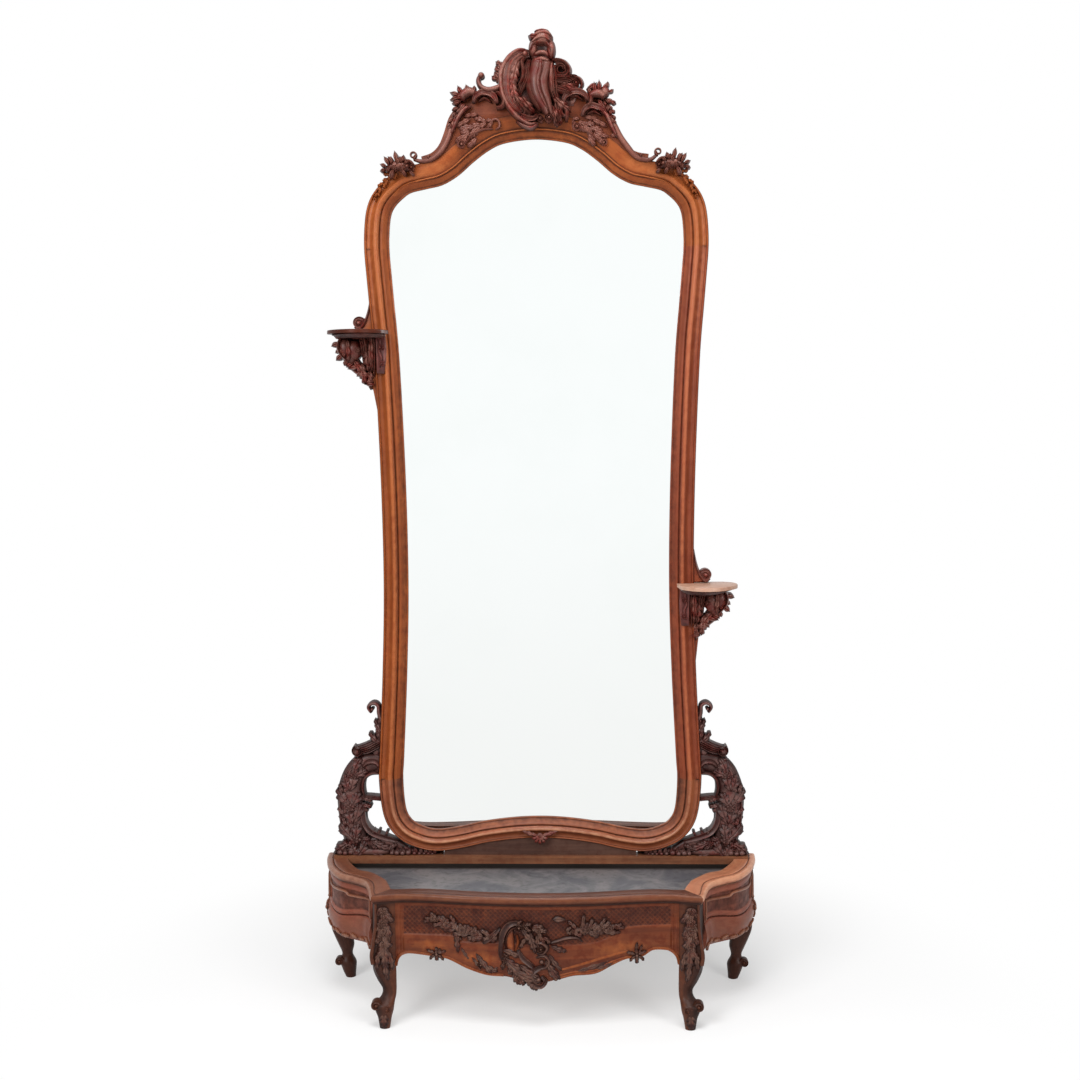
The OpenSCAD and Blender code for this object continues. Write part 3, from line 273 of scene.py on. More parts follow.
def scroll(points, widths, height, kind, base, fade=0.12, ribs=0):
    # A band along a curve through x, z, x, z and so on; widths and heights are spread evenly
    # along it. kind says how its face is cut: hollow between raised edges, a ridge,
    # round, fluted along its length, or a shell edge with a rim on its left and ribs across.
    line = curveThrough(np.reshape(points, (-1, 2)))
    stepLength = 2.2
    m = int(min(140, max(18, lengthsAlong(line)[-1] / stepLength)))
    if kind == "shell":
        m = max(m, int(ribs * 9) + 1)
    path = evenly(line, m)
    t = np.linspace(0, 1, m)
    w = np.interp(t, np.linspace(0, 1, len(widths)), widths) / 2
    n = 9 + 6 * ribs if kind == "fluted" else 17
    u = np.linspace(-1, 1, n)[None, :]
    r = np.abs(u)
    edge = 0.5 + 0.5 * np.sqrt(np.clip(1 - r ** 7, 0, 1))
    half = np.stack([w, w])
    if kind == "shell":
        wave = np.sin(np.pi * ribs * t) ** 2
        rim = np.exp(-((u - 0.72) / 0.16) ** 2)
        cross = 0.35 + 0.25 * (u + 1) / 2 + 0.55 * rim + 0.22 * (wave[:, None] - 0.5) * (1 - rim)
        half = np.stack([w * (0.8 + 0.2 * np.sqrt(wave)), w])
    elif kind == "fluted":
        cross = 0.72 - 0.16 * r ** 2 + 0.26 * np.cos(np.pi * ribs * u) ** 2
    else:
        cross = {"hollow": 0.55 + 0.45 * r ** 2, "ridge": 0.45 + 0.55 * (1 - r) ** 0.8,
                 "round": 0.3 + 0.7 * np.sqrt(np.clip(1 - r ** 2, 0, 1))}[kind]
    along = np.ones(m)
    if fade:
        along = 0.55 + 0.45 * np.minimum(easedStep(t / fade), easedStep((1 - t) / fade))
    h = np.interp(t, np.linspace(0, 1, np.size(height)), np.atleast_1d(height))
    front = (h * along)[:, None] * cross * edge
    return ribbon(path, half, front, base)


def dome(x, z, radius, height, base=0.0, squash=1.0, dimple=0.0):
    # A round button: rings from its foot up to its top on a quarter circle, hollowed by dimple.
    n = 20
    a = np.linspace(0, 2 * np.pi, n, endpoint=False)
    q = np.radians([0, 0, 12, 30, 50, 66, 80])
    r = radius * np.cos(q)
    top = np.sin(q[2:]) - dimple * easedStep((q[2:] - 0.6) / 0.8)
    h = np.array([0, base + 0.2 * height, *(base + height * (0.3 + 0.7 * top))])
    rings = np.stack([x + r[:, None] * np.cos(a), np.broadcast_to(-h[:, None], (7, n)),
                      z + r[:, None] * np.sin(a) * squash], axis=-1)
    relief = np.array([0, 0.1, 0.35, 0.6, 0.85, 1 - dimple, 1 - 1.6 * dimple])[:, None]
    return ringShell(rings, np.clip(relief, 0, 1))


def coil(x, z, radius, startAngle, turns, width, height, base, eye=True):
    # A volute: a band that coils in and ends in a round eye.
    path = spiral((x, z), radius, startAngle, turns, 12 + int(8 * abs(turns)), 0.36)
    parts = [scroll(path, [width, width * 0.75, width * 0.5], [height, height * 1.2], "hollow",
                    base, fade=0)]
    if eye:
        parts.append(dome(x, z, radius * 0.4, height * 1.1, base))
    return parts


def flower(x, z, radius, petals, height, startAngle, base):
    # Small leaves around a button, the outer row longer and lower.
    parts = []
    for row, (share, rise) in enumerate(((1.0, 0.7), (0.66, 1.0))):
        for k in range(petals):
            a = startAngle + 360 * (k + 0.5 * row) / petals
            parts.append(leaf(x, z, a, radius * share, radius * 0.62, 12 if k % 2 else -12, 1,
                              height * rise, base, 0.5, 0.1))
    parts.append(dome(x, z, radius * 0.24, height * 1.15, base, dimple=0.3))
    return parts


# main sizes, as on the drawing
size = {"wallY": cadHigh[1] / mm, "frameBack": 192, "frameDepth": 46, "memberWidth": 67,
        "bottomRail": 58, "rimTop": 351, "rimThickness": 24, "plinthZ": 357, "sightZ": 464, "footRise": 109,
        "sightTop": 2322, "halfFoot": 383, "halfWaist": 360, "halfTop": 398, "legHeight": 187,
        "crestZ": 2389, "crestFace": 152}
frameFront = size["frameBack"] - size["frameDepth"]
crestZ = size["crestZ"]
rimTop = size["rimTop"]
rimLow = rimTop - size["rimThickness"]


perStretch = 8


def halfOpening():
    # Right half of the glass opening: bottom rail, stile, arched top, on one smooth curve.
    foot, waist, top, z0 = size["halfFoot"], size["halfWaist"], size["halfTop"], size["sightZ"]
    low = [(foot * a, z0 + b) for a, b in (
        (0, 0), (0.2, -3.7), (0.42, -14.8), (0.6, -30), (0.757, -37), (0.87, -26.6), (0.945, -7.4),
        (0.985, 28.3), (1, 109))]
    shoulder = size["sightTop"] - 128
    run = shoulder - 160 - z0 - size["footRise"]
    stile = [(waist + (1 - b) * (end - waist), z0 + size["footRise"] + a * run) for a, b, end in (
        (0.045, 0.17, foot), (0.21, 0.7, foot), (0.374, 1, foot), (0.57, 0.92, top), (0.79, 0.61, top),
        (0.9, 0.29, top), (0.955, 0.12, top))]
    upper = [(top * a, shoulder - 160 * b) for a, b in (
        (1, 1), (0.996, 0.66), (0.982, 0.42), (0.953, 0.28), (0.9, 0.15), (0.844, 0.06))]
    arch = [(top * a, shoulder + 128 * b) for a, b in (
        (0.739, 0), (0.631, 0.08), (0.523, 0.27), (0.417, 0.55), (0.309, 0.79), (0.2, 0.93), (0, 1))]
    half = low + stile + upper + arch
    ring = [(-half[1][0], half[1][1])] + half + [(-half[-2][0], half[-2][1])]
    line = curveThrough(ring, perStretch)
    return line[perStretch:-perStretch], len(low) - 1, len(low) + len(stile)


openLine, footPoint, broadPoint = halfOpening()
footI, broadI, lastI = footPoint * perStretch, broadPoint * perStretch, len(openLine) - 1
padded = np.vstack([openLine[1] * [-1, 1], openLine, openLine[-2] * [-1, 1]])
outward = -leftNormals(padded)[1:-1]
outward[[footI, broadI]] = [1, 0]
i = np.arange(lastI + 1)
memberWidth = np.where(i >= footI, size["memberWidth"], size["bottomRail"]
                       + (size["memberWidth"] - size["bottomRail"]) * (i / footI) ** 3)
memberWidth[4:-4] = np.convolve(memberWidth, np.full(9, 1 / 9), "valid")
edgeLine = openLine + outward * memberWidth[:, None]


def edgeX(z):
    # Half width over the frame at height z, between the foot and the shoulders.
    return np.interp(z, edgeLine[footI:broadI + 1, 1], edgeLine[footI:broadI + 1, 0])


# frame moulding: share of its width from the glass outwards, share of its depth, wear and light (painted
# shade in the groove and at the outer edge, painted highlight on the ridge)
rebate = (0.16, 15 / 46)
moulding = np.array([
    (0.16, 0.0, 0), (rebate[0], rebate[1], 0), (0.0, rebate[1], 0.3), (0.0, 0.39, 0.3), (0.012, 0.43, 0.4),
    (0.035, 0.445, 0.4), (0.06, 0.44, 0.3), (0.075, 0.425, 0.2), (0.095, 0.44, 0.28), (0.13, 0.49, 0.34),
    (0.17, 0.55, 0.38), (0.21, 0.615, 0.4), (0.25, 0.67, 0.44), (0.29, 0.71, 0.5), (0.325, 0.725, 0.5),
    (0.345, 0.715, 0.36), (0.36, 0.695, 0.24), (0.375, 0.68, 0.16), (0.392, 0.7, 0.2), (0.4, 0.76, 0.4),
    (0.415, 0.84, 0.6), (0.44, 0.91, 0.8), (0.475, 0.96, 0.95), (0.515, 0.99, 1.0), (0.55, 1.0, 0.95),
    (0.58, 0.985, 0.8), (0.61, 0.93, 0.66), (0.65, 0.85, 0.6), (0.695, 0.775, 0.58), (0.745, 0.72, 0.6),
    (0.795, 0.69, 0.66), (0.84, 0.685, 0.66), (0.875, 0.695, 0.6), (0.89, 0.71, 0.25), (0.9, 0.77, 0.45),
    (0.915, 0.81, 0.6), (0.935, 0.83, 0.6), (0.96, 0.82, 0.4), (0.98, 0.79, 0.25), (0.994, 0.74, 0.15),
    (1.0, 0.68, 0.1), (1.0, 0.36, 0.1), (1.0, 0.0, 0.1)])
# the broad arch instead has a cove, a thin fillet and a smooth ground: share, height, wear and light (painted
# shade in the cove that faces down, painted highlight on the fillet)
archProfile = np.array([
    (0, 0.4, 0.1), (0.06, 0.44, 0.16), (0.15, 0.54, 0.4), (0.25, 0.64, 0.36), (0.29, 0.655, 0.2),
    (0.325, 0.66, 0.1), (0.345, 0.8, 1.1), (0.375, 0.8, 1.1), (0.392, 0.7, 0.1), (0.415, 0.7, 0.3),
    (0.475, 0.74, 0.64), (0.58, 0.79, 0.76), (0.75, 0.86, 0.72), (0.94, 0.87, 0.6), (1, 0.86, 0.1)])
archStart = broadI + 3 * perStretch
archFull = broadI + 7 * perStretch


def memberRings(first, last):
    # The moulding carried along the opening's edge, from one station to another.
    k = np.arange(first, last + 1)
    share, height, wearAndLight = (np.broadcast_to(moulding[:, c], (len(k), len(moulding))).copy() for c in range(3))
    flat = easedStep((k - archStart) / (archFull - archStart))[:, None]
    face = (moulding[:, 0] > 0.05) & (moulding[:, 1] > 0.4)
    height[:, face] += (np.interp(share, archProfile[:, 0], archProfile[:, 1]) - height)[:, face] * flat
    wearAndLight[:, face] += (np.interp(share, archProfile[:, 0], archProfile[:, 2]) - wearAndLight)[:, face] * flat
    nearMiddle = easedStep((k - archFull) / (lastI - archFull) * 1.6)[:, None]
    wearAndLight[:, face] -= 0.26 * nearMiddle * (share[:, face] > 0.4)
    # painted highlight: paler towards the shoulders
    z = openLine[k, 1:2]
    wearAndLight += 0.3 * easedStep((z - 1500) / 500) * easedStep((2260 - z) / 60) * face * (wearAndLight > 0.3)
    # the bottom rail's paler colour is partly painted light from above; here its ends and the stiles' feet
    # blend into each other
    if last <= footI:  # the bottom rail darkens towards the stiles, and they grow paler towards it
        wearAndLight -= 0.04 + 0.17 * easedStep((z - 430) / 200) * face
    else:
        wearAndLight += 0.16 * easedStep((760 - z) / 200) * face * (wearAndLight > 0.3)
    out = share * memberWidth[k, None]
    flatPoints = openLine[k, None] + outward[k, None] * out[..., None]
    rings = np.stack([flatPoints[..., 0], size["frameBack"] - height * size["frameDepth"],
                      flatPoints[..., 1]], axis=-1)
    return rings, wearAndLight


def memberShell(first, last, wholeWidth=False):
    # One member as a closed skin; wholeWidth adds its mirror image across the middle.
    rings, wearAndLight = memberRings(first, last)
    if wholeWidth:
        other = rings * [-1, 1, 1]
        if first == 0:
            rings = np.vstack([other[:0:-1], rings])
            wearAndLight = np.vstack([wearAndLight[:0:-1], wearAndLight])
        else:
            rings = np.vstack([rings, other[-2::-1]])
            wearAndLight = np.vstack([wearAndLight, wearAndLight[-2::-1]])
    return ringShell(rings, wearAndLight)


# materials
def newMaterial(name):
    # A material with its node tree and its shader.
    material = bpy.data.materials.new(name)
    material.use_nodes = True
    tree = material.node_tree
    return material, tree, tree.nodes["Principled BSDF"]


def addNode(tree, kind, **settings):
    # A node whose settings are sockets or plain properties.
    node = tree.nodes.new(kind)
    for key, value in settings.items():
        if key in node.inputs:
            node.inputs[key].default_value = value
        else:
            setattr(node, key, value)
    return node


def join(value, target):
    # A socket is linked, a number or colour is set.
    if isinstance(value, bpy.types.NodeSocket):
        target.id_data.links.new(value, target)
    else:
        target.default_value = (*value, 1) if isinstance(value, tuple) else value


def maths(operation, a, b):
    # One sum of a socket and a number or another socket.
    node = a.id_data.nodes.new("ShaderNodeMath")
    node.operation = operation
    join(a, node.inputs[0])
    join(b, node.inputs[1])
    return node.outputs[0]


def mixColours(share, a, b, blend="MIX"):
    # From colour a to colour b by share.
    node = share.id_data.nodes.new("ShaderNodeMix")
    node.data_type = "RGBA"
    node.blend_type = blend
    for key, value in ((0, share), (6, a), (7, b)):
        join(value, node.inputs[key])
    return node.outputs[2]


def stretch(value, low, high, newLow=0.0, newHigh=1.0):
    # A soft step: values from low to high are spread over newLow to newHigh.
    node = value.id_data.nodes.new("ShaderNodeMapRange")
    node.interpolation_type = "SMOOTHSTEP"
    for k, part in enumerate((value, low, high, newLow, newHigh)):
        join(part, node.inputs[k])
    return node.outputs[0]


def noise(vector, scale, detail, roughness=0.55, lift=0.0):
    # Soft random values, scale lumps to the metre.
    node = addNode(vector.id_data, "ShaderNodeTexNoise", Scale=scale, Detail=detail, Roughness=roughness,
                   Distortion=lift)
    join(vector, node.inputs["Vector"])
    return node.outputs[0]


def scaled(vector, x, y, z):
    # A place times x, y and z, which draws the noise out into streaks.
    node = vector.id_data.nodes.new("ShaderNodeVectorMath")
    node.operation = "MULTIPLY"
    join(vector, node.inputs[0])
    node.inputs[1].default_value = (x, y, z)
    return node.outputs[0]


def srgb(r, g, b):
    # A colour as read on a screen, 0 to 255, turned to the linear values that shaders take.
    c = np.array([r, g, b]) / 255
    return tuple(float(v) for v in np.where(c <= 0.04045, c / 12.92, ((c + 0.055) / 1.055) ** 2.4))


def makeGroup(name, inputs, outputs):
    # A node group with its named inputs and outputs.
    group = bpy.data.node_groups.new(name, "ShaderNodeTree")
    for socket, kind in inputs:
        group.interface.new_socket(socket, in_out="INPUT", socket_type="NodeSocket" + kind)
    for socket, kind in outputs:
        group.interface.new_socket(socket, in_out="OUTPUT", socket_type="NodeSocket" + kind)
    return group, group.nodes.new("NodeGroupInput").outputs, group.nodes.new("NodeGroupOutput").inputs


def grainGroup():
    # Wood grain: long streaks along the first axis of the map, fine pores, slow patches of stain,
    # and painted shade, partly dirt, where the relief is low, while high places get a painted highlight and
    # are rubbed pale.
    tree, inp, out = makeGroup(
        "aged wood", [("Map", "Vector"), ("Place", "Vector"), ("Light", "Color"), ("Dark", "Color"),
                      ("Deep", "Color"), ("Worn and lit", "Color"), ("Relief", "Float"), ("Streaks", "Float"),
                      ("Shade", "Float"), ("Tint", "Color"), ("Mottle", "Float")],
        [("Color", "Color"), ("Roughness", "Float"), ("Height", "Float")])
    streak = noise(scaled(inp["Map"], 2.2, 46, 46), 1.0, 5, 0.6, 0.6)
    fibre = noise(scaled(inp["Map"], 9, 420, 420), 1.0, 3, 0.6)
    patch = noise(inp["Place"], 7.0, 3, 0.55)
    fleck = noise(scaled(inp["Map"], 60, 520, 520), 1.0, 2, 0.5)
    figure = maths("ADD", maths("MULTIPLY", streak, 0.62),
                      maths("MULTIPLY", patch, 0.38))
    tone = stretch(figure, 0.36, 0.64)
    colour = mixColours(maths("MULTIPLY", tone, inp["Streaks"]), inp["Light"], inp["Dark"])
    pores = stretch(maths("MULTIPLY", fibre, fleck), 0.3, 0.44)
    colour = mixColours(maths("MULTIPLY", pores, 0.3), colour, inp["Deep"])
    # uneven noise that breaks up the painted shade and highlights, and roughens the bump
    unevenness = noise(inp["Place"], 55.0, 4, 0.6)
    wavyRelief = maths("ADD", inp["Relief"],
                          maths("MULTIPLY", maths("SUBTRACT", unevenness, 0.5), 0.5))
    # painted shade: low relief darkens towards the deep colour, partly dirt in the hollows; painted
    # highlight: high relief turns towards the worn and lit colour, partly real wear
    sunk = stretch(wavyRelief, inp["Shade"], 0.1)
    proud = stretch(wavyRelief, 0.72, 1.1)
    colour = mixColours(maths("MULTIPLY", sunk, 0.85), colour, inp["Deep"])
    colour = mixColours(maths("MULTIPLY", proud, 0.65), colour, inp["Worn and lit"])
    mottle = stretch(noise(inp["Place"], 48.0, 3, 0.6), 0.46, 0.62)
    colour = mixColours(maths("MULTIPLY", mottle, inp["Mottle"]), colour, inp["Tint"], "SOFT_LIGHT")
    join(colour, out["Color"])
    rough = maths("ADD", maths("MULTIPLY", fibre, 0.16),
                     maths("MULTIPLY", sunk, 0.22))
    rough = maths("SUBTRACT", rough, maths("MULTIPLY", proud, 0.06))
    join(maths("ADD", rough, 0.3), out["Roughness"])
    height = maths("ADD", maths("MULTIPLY", fibre, 0.5),
                      maths("MULTIPLY", unevenness, 0.5))
    join(height, out["Height"])
    return tree


agedWood = grainGroup()


def woodMaterial(name, light, dark, deep, wornAndLit, gloss, bump=0.25, shade=0.5, tint=(150, 118, 112),
                 mottle=0.3, mapped=True, turn=0):
    # Aged wood on a piece's own grain map, or on its place where it has none.
    material, tree, shader = newMaterial(name)
    place = tree.nodes.new("ShaderNodeTexCoord").outputs["Object"]
    grain = tree.nodes.new("ShaderNodeGroup")
    grain.node_tree = agedWood
    if mapped:
        grainMap = addNode(tree, "ShaderNodeUVMap", uv_map="grain").outputs[0]
        relief = addNode(tree, "ShaderNodeAttribute", attribute_name="relief").outputs["Fac"]
    else:
        turned = addNode(tree, "ShaderNodeMapping", Rotation=(0, math.radians(turn), 0))
        join(place, turned.inputs["Vector"])
        grainMap, relief = turned.outputs[0], 0.62
    for key, value in {"Map": grainMap, "Relief": relief, "Place": place, "Light": srgb(*light),
                       "Dark": srgb(*dark), "Deep": srgb(*deep), "Worn and lit": srgb(*wornAndLit), "Streaks": 0.8,
                       "Shade": shade, "Tint": srgb(*tint), "Mottle": mottle}.items():
        join(value, grain.inputs[key])
    join(grain.outputs["Color"], shader.inputs["Base Color"])
    join(grain.outputs["Roughness"], shader.inputs["Roughness"])
    uneven = addNode(tree, "ShaderNodeBump", Strength=bump, Distance=0.0006)
    join(grain.outputs["Height"], uneven.inputs["Height"])
    join(uneven.outputs[0], shader.inputs["Normal"])
    shader.inputs["Specular IOR Level"].default_value = gloss
    return material


# Every wood: its pale and dark grain, its deep colour for pores and for painted shade, partly dirt, in its
# hollows, its worn colour for rubbed places and painted highlights, its gloss, and what differs from the
# usual.
wood = {
    "golden walnut": ((140, 72, 33), (106, 51, 24), (60, 27, 13), (166, 95, 53), 0.16, {}),
    # the right stile: its darker, redder tone is partly its own colour and partly painted shade
    "red walnut partly in painted shade": ((128, 62, 38), (100, 46, 27), (66, 29, 18), (168, 96, 62), 0.16, {}),
    "crest ground walnut": ((112, 56, 34), (86, 42, 27), (52, 25, 17), (126, 68, 46), 0.12, {}),
    "carved walnut": ((101, 58, 49), (70, 38, 32), (20, 9, 7), (146, 98, 86), 0.25,
                      {"bump": 0.5, "shade": 0.64, "tint": (176, 106, 104), "mottle": 0.8}),
    "console walnut": ((66, 40, 36), (44, 26, 23), (12, 6, 5), (116, 82, 76), 0.2,
                       {"bump": 0.4, "shade": 0.66, "tint": (170, 106, 104), "mottle": 0.7}),
    "apron walnut": ((106, 53, 30), (72, 34, 22), (44, 22, 19), (146, 80, 40), 0.14, {"mottle": 0.5}),
    "spray walnut": ((104, 58, 47), (78, 42, 34), (44, 22, 17), (136, 88, 74), 0.25, {"bump": 0.4}),
    "garland walnut": ((56, 32, 26), (40, 22, 18), (14, 7, 6), (112, 80, 66), 0.2,
                       {"bump": 0.4, "shade": 0.7, "tint": (160, 112, 104), "mottle": 0.7}),
    "panel walnut": ((92, 44, 40), (66, 30, 27), (36, 15, 13), (128, 76, 68), 0.25, {"bump": 0.4}),
    "side apron walnut": ((134, 75, 57), (100, 55, 43), (42, 21, 16), (106, 62, 45), 0.14, {}),
    # the bottom rail: its paler worn colour is painted light falling from above on its upward faces
    "bottom rail walnut with painted light from above": ((144, 81, 50), (108, 57, 36), (52, 24, 14), (184, 134, 102), 0.25, {}),
    # the right rim: the same wood as the left rim, made paler as painted light
    "right rim walnut with painted light": ((176, 115, 84), (140, 86, 61), (66, 36, 24), (206, 152, 120), 0.2, {}),
    "front rim walnut": ((86, 43, 25), (62, 31, 19), (34, 16, 10), (116, 67, 42), 0.2, {}),
    "leg walnut": ((65, 36, 26), (47, 26, 19), (20, 10, 8), (98, 54, 35), 0.14, {"shade": 0.55}),
    "rim walnut": ((122, 74, 52), (92, 54, 40), (52, 27, 18), (150, 110, 90), 0.2, {}),
    # the shelves: the left one, seen from below, is darkened as painted shade; the right one, seen from
    # above, is paler as painted light
    "left shelf walnut with painted light and shade": ((74, 34, 22), (54, 26, 18), (28, 13, 9), (76, 38, 26), 0.08, {}),
    "right shelf walnut with painted light and shade": ((176, 140, 120), (148, 112, 92), (60, 36, 27), (206, 180, 164), 0.25, {}),
    "walnut in shade": ((88, 62, 52), (62, 42, 36), (26, 16, 13), (110, 82, 70), 0.15, {"mapped": False}),
    "plinth walnut": ((124, 80, 56), (88, 54, 38), (36, 20, 14), (150, 106, 80), 0.16, {"mapped": False}),
    "raw pine": ((178, 140, 96), (142, 104, 66), (84, 58, 36), (190, 156, 114), 0.15,
                 {"bump": 0.6, "mapped": False})}
wood["raw pine blocks"] = (*wood["raw pine"][:5], {**wood["raw pine"][5], "turn": 90})
wood = {name: woodMaterial(name, *look[:5], **look[5]) for name, look in wood.items()}


def metalMaterial(name, light, dark, roughness, spots, shadowDepths=None):
    # Dull metal with slow patches and small spots of oxide, and a painted shadow, near black, between two
    # depths.
    material, tree, shader = newMaterial(name)
    place = tree.nodes.new("ShaderNodeTexCoord").outputs["Object"]
    patch = stretch(noise(place, 9.0, 5, 0.6, 0.8), 0.36, 0.66)
    spot = stretch(noise(place, spots, 3, 0.6), 0.52, 0.68)
    colour = mixColours(patch, srgb(*light), srgb(*dark))
    colour = mixColours(maths("MULTIPLY", spot, 0.5), colour,
                        tuple(0.5 * v for v in srgb(*dark)))
    if shadowDepths:
        depth = tree.nodes.new("ShaderNodeSeparateXYZ")
        join(place, depth.inputs[0])
        colour = mixColours(stretch(depth.outputs[1], *shadowDepths), colour, (0.012, 0.008, 0.006))
    join(colour, shader.inputs["Base Color"])
    rough = maths("ADD", maths("MULTIPLY", patch, 0.15), roughness)
    join(rough, shader.inputs["Roughness"])
    shader.inputs["Metallic"].default_value = 0.55
    bump = addNode(tree, "ShaderNodeBump", Strength=0.2, Distance=0.0005)
    join(noise(place, spots, 4), bump.inputs["Height"])
    join(bump.outputs[0], shader.inputs["Normal"])
    return material


# the tray turns near black towards its back, under the rail: a painted shadow
zinc = metalMaterial("mottled zinc", (124, 122, 123), (86, 86, 91), 0.42, 60.0, (0.105, 0.135))
iron = metalMaterial("dull iron", (120, 116, 110), (78, 70, 64), 0.5, 220.0)


def silveredGlass():
    # Nearly white metal, duller in slow patches, and a little greyer towards the floor, a painted reflection
    # of it.
    material, tree, shader = newMaterial("silvered glass")
    place = tree.nodes.new("ShaderNodeTexCoord").outputs["Object"]
    age = stretch(noise(place, 2.2, 4, 0.6), 0.4, 0.75)
    colour = mixColours(age, (0.955, 0.985, 0.98), (0.93, 0.965, 0.955))
    height = tree.nodes.new("ShaderNodeSeparateXYZ")
    join(place, height.inputs[0])
    # painted reflection: greyer lower down, towards the floor
    colour = mixColours(stretch(height.outputs[2], 1.6, 0.4, 0, 0.6), colour, (0.86, 0.865, 0.85))
    join(colour, shader.inputs["Base Color"])
    rough = maths("MULTIPLY", age, 0.015)
    join(maths("ADD", rough, 0.01), shader.inputs["Roughness"])
    shader.inputs["Metallic"].default_value = 1.0
    return material


glassFinish = silveredGlass()
print("materials made")

for node, material in {
        "mirror_glass": glassFinish, "glass_blocks": wood["raw pine blocks"],
        "backboards": wood["raw pine"],
        "backboard_screws": iron, "joining_straps": iron, "strap_screws": iron,
        "filler_panel": wood["walnut in shade"], "plinth_rail": wood["plinth walnut"],
        "back_rim": wood["plinth walnut"],
        "zinc_tray": zinc, "tray_board": wood["raw pine"], "tray_bearers": wood["raw pine"],
        "apron_back": wood["walnut in shade"]}.items():
    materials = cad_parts[node].data.materials
    materials.clear()
    materials.append(material)

pieceObject("frame_top_rail", [memberShell(broadI, lastI, True)], wood["golden walnut"], ("top_rail",))
pieceObject("frame_right_stile", [memberShell(footI, broadI)], wood["red walnut partly in painted shade"], ("right_stile",))
pieceObject("frame_left_stile", mirrored([memberShell(footI, broadI)]), wood["golden walnut"],
            ("left_stile",))
pieceObject("frame_bottom_rail", [memberShell(0, footI, True)], wood["bottom rail walnut with painted light from above"], ("bottom_rail",))
print("frame mouldings made")


# crest board: a plate with a raised bead along its edge
def plateShell(outline, back, front, bevel=2.0):
    # A flat plate: its outline carried from back to front, drawn in at the front edge.
    line = np.asarray(outline, float)
    normal = leftNormals(np.vstack([line[-1:], line, line[:1]]))[1:-1]
    inwardSide = np.sign(np.sum(line[:, 0] * np.roll(line[:, 1], -1) - line[:, 1] * np.roll(line[:, 0], -1)))
    shapes = []
    for y, off in ((back, 0), (front + bevel, 0), (front + bevel * 0.3, bevel * 0.3), (front, bevel)):
        q = line + normal * off * inwardSide
        shapes.append(np.stack([q[:, 0], np.full(len(q), float(y)), q[:, 1]], axis=1))
    caps = np.array(tessellate_polygon([[Vector((x, z, 0)) for x, z in line]]))
    m, n = len(shapes), len(line)
    points = np.vstack(shapes)
    shell = {"points": points, "quads": gridQuads(m, n),
             "tris": np.vstack([caps, caps[:, ::-1] + (m - 1) * n]),
             "relief": np.full(len(points), 0.55), "grain": points[:, [0, 2]].copy()}
    a, b, c = (points[shell["tris"][len(caps):]][:, k] for k in range(3))
    if np.cross(b - a, c - a)[:, 1].sum() >= 0:
        shell["tris"] = shell["tris"][:, ::-1]
    q = shell["quads"]
    a, b, c = (points[q[:, k]] for k in range(3))
    e = np.cross(b - a, c - a)
    outwardSide = (normal * -inwardSide)[q[:, 0] % n]
    if (e[:, 0] * outwardSide[:, 0] + e[:, 2] * outwardSide[:, 1]).sum() < 0:
        shell["quads"] = q[:, ::-1]
    return shell


crestLeft = [(-306, -112), (-278, -102), (-258, -82), (-244, -50), (-230, -10), (-206, 22),
             (-186, 40), (-143, 48), (-92, 72), (-78, 112), (-40, 140), (12, 156)]
crestRight = [(12, 156), (52, 118), (84, 76), (124, 50), (170, 50), (194, 30), (202, -6),
              (212, -34), (228, -66), (248, -90), (272, -106), (304, -112)]


def crestShells():
    # The board stands on the frame: its lower edge follows the frame's outer edge just inside it.
    top = np.vstack([curveThrough(crestLeft, 6), curveThrough(crestRight, 6)[1:]])
    boardHalf, overlap = 304, 0.97
    reach = np.abs(edgeLine[:, 0]) < boardHalf
    k = np.arange(len(edgeLine))[reach & (np.arange(len(edgeLine)) > broadI)]
    half = (openLine[k] + outward[k] * memberWidth[k, None] * overlap) - [0, crestZ]
    low = np.vstack([half, half[-2::-1] * [-1, 1]])
    board = plateShell(np.vstack([top, low]), size["frameBack"], size["crestFace"])
    board["points"] = board["points"] + [0, 0, crestZ]
    return [board]


def crestBeads():
    # The bead along the board's swept edges, ended by a thin upright ring.
    beads = [
        scroll((-325, -120, -306, -125, -287, -123, -269, -115, -250, -97, -233, -69, -222, -38, -208, -9,
            -190, 9), (8, 14, 16, 16, 14, 10), (8, 10, 12, 12, 8), "round", 6),
        scroll((325, -115, 309, -127, 288, -127, 266, -117, 248, -95, 229, -69, 216, -43, 203, -17, 182, -1),
            (8, 14, 16, 16, 14, 10), (8, 10, 12, 12, 8), "round", 6)]
    for spot, turn in (((-327, -109), 1), ((329, -107), -1)):
        beads.append(scroll(spiral(spot, 9.5, 270, turn * 1.25, 24, 0.5), (6, 4), (10, 12), "round", 6, 0))
    beads += [leaf(-285, -120, 96, 12, 8, 10, 1, 12, 8), leaf(282, -122, 84, 12, 8, 10, 1, 12, 8)]
    return onCrest(beads, 4)


def onCrest(shells, sunk=2):
    # Set on the board's face, with its foot a little way into the wood.
    return placed(shells, 0, size["crestFace"] + sunk, crestZ)


pieceObject("crest_ground", crestShells(), wood["crest ground walnut"], ("crest_board",))
pieceObject("crest_bead", crestBeads(), wood["spray walnut"])


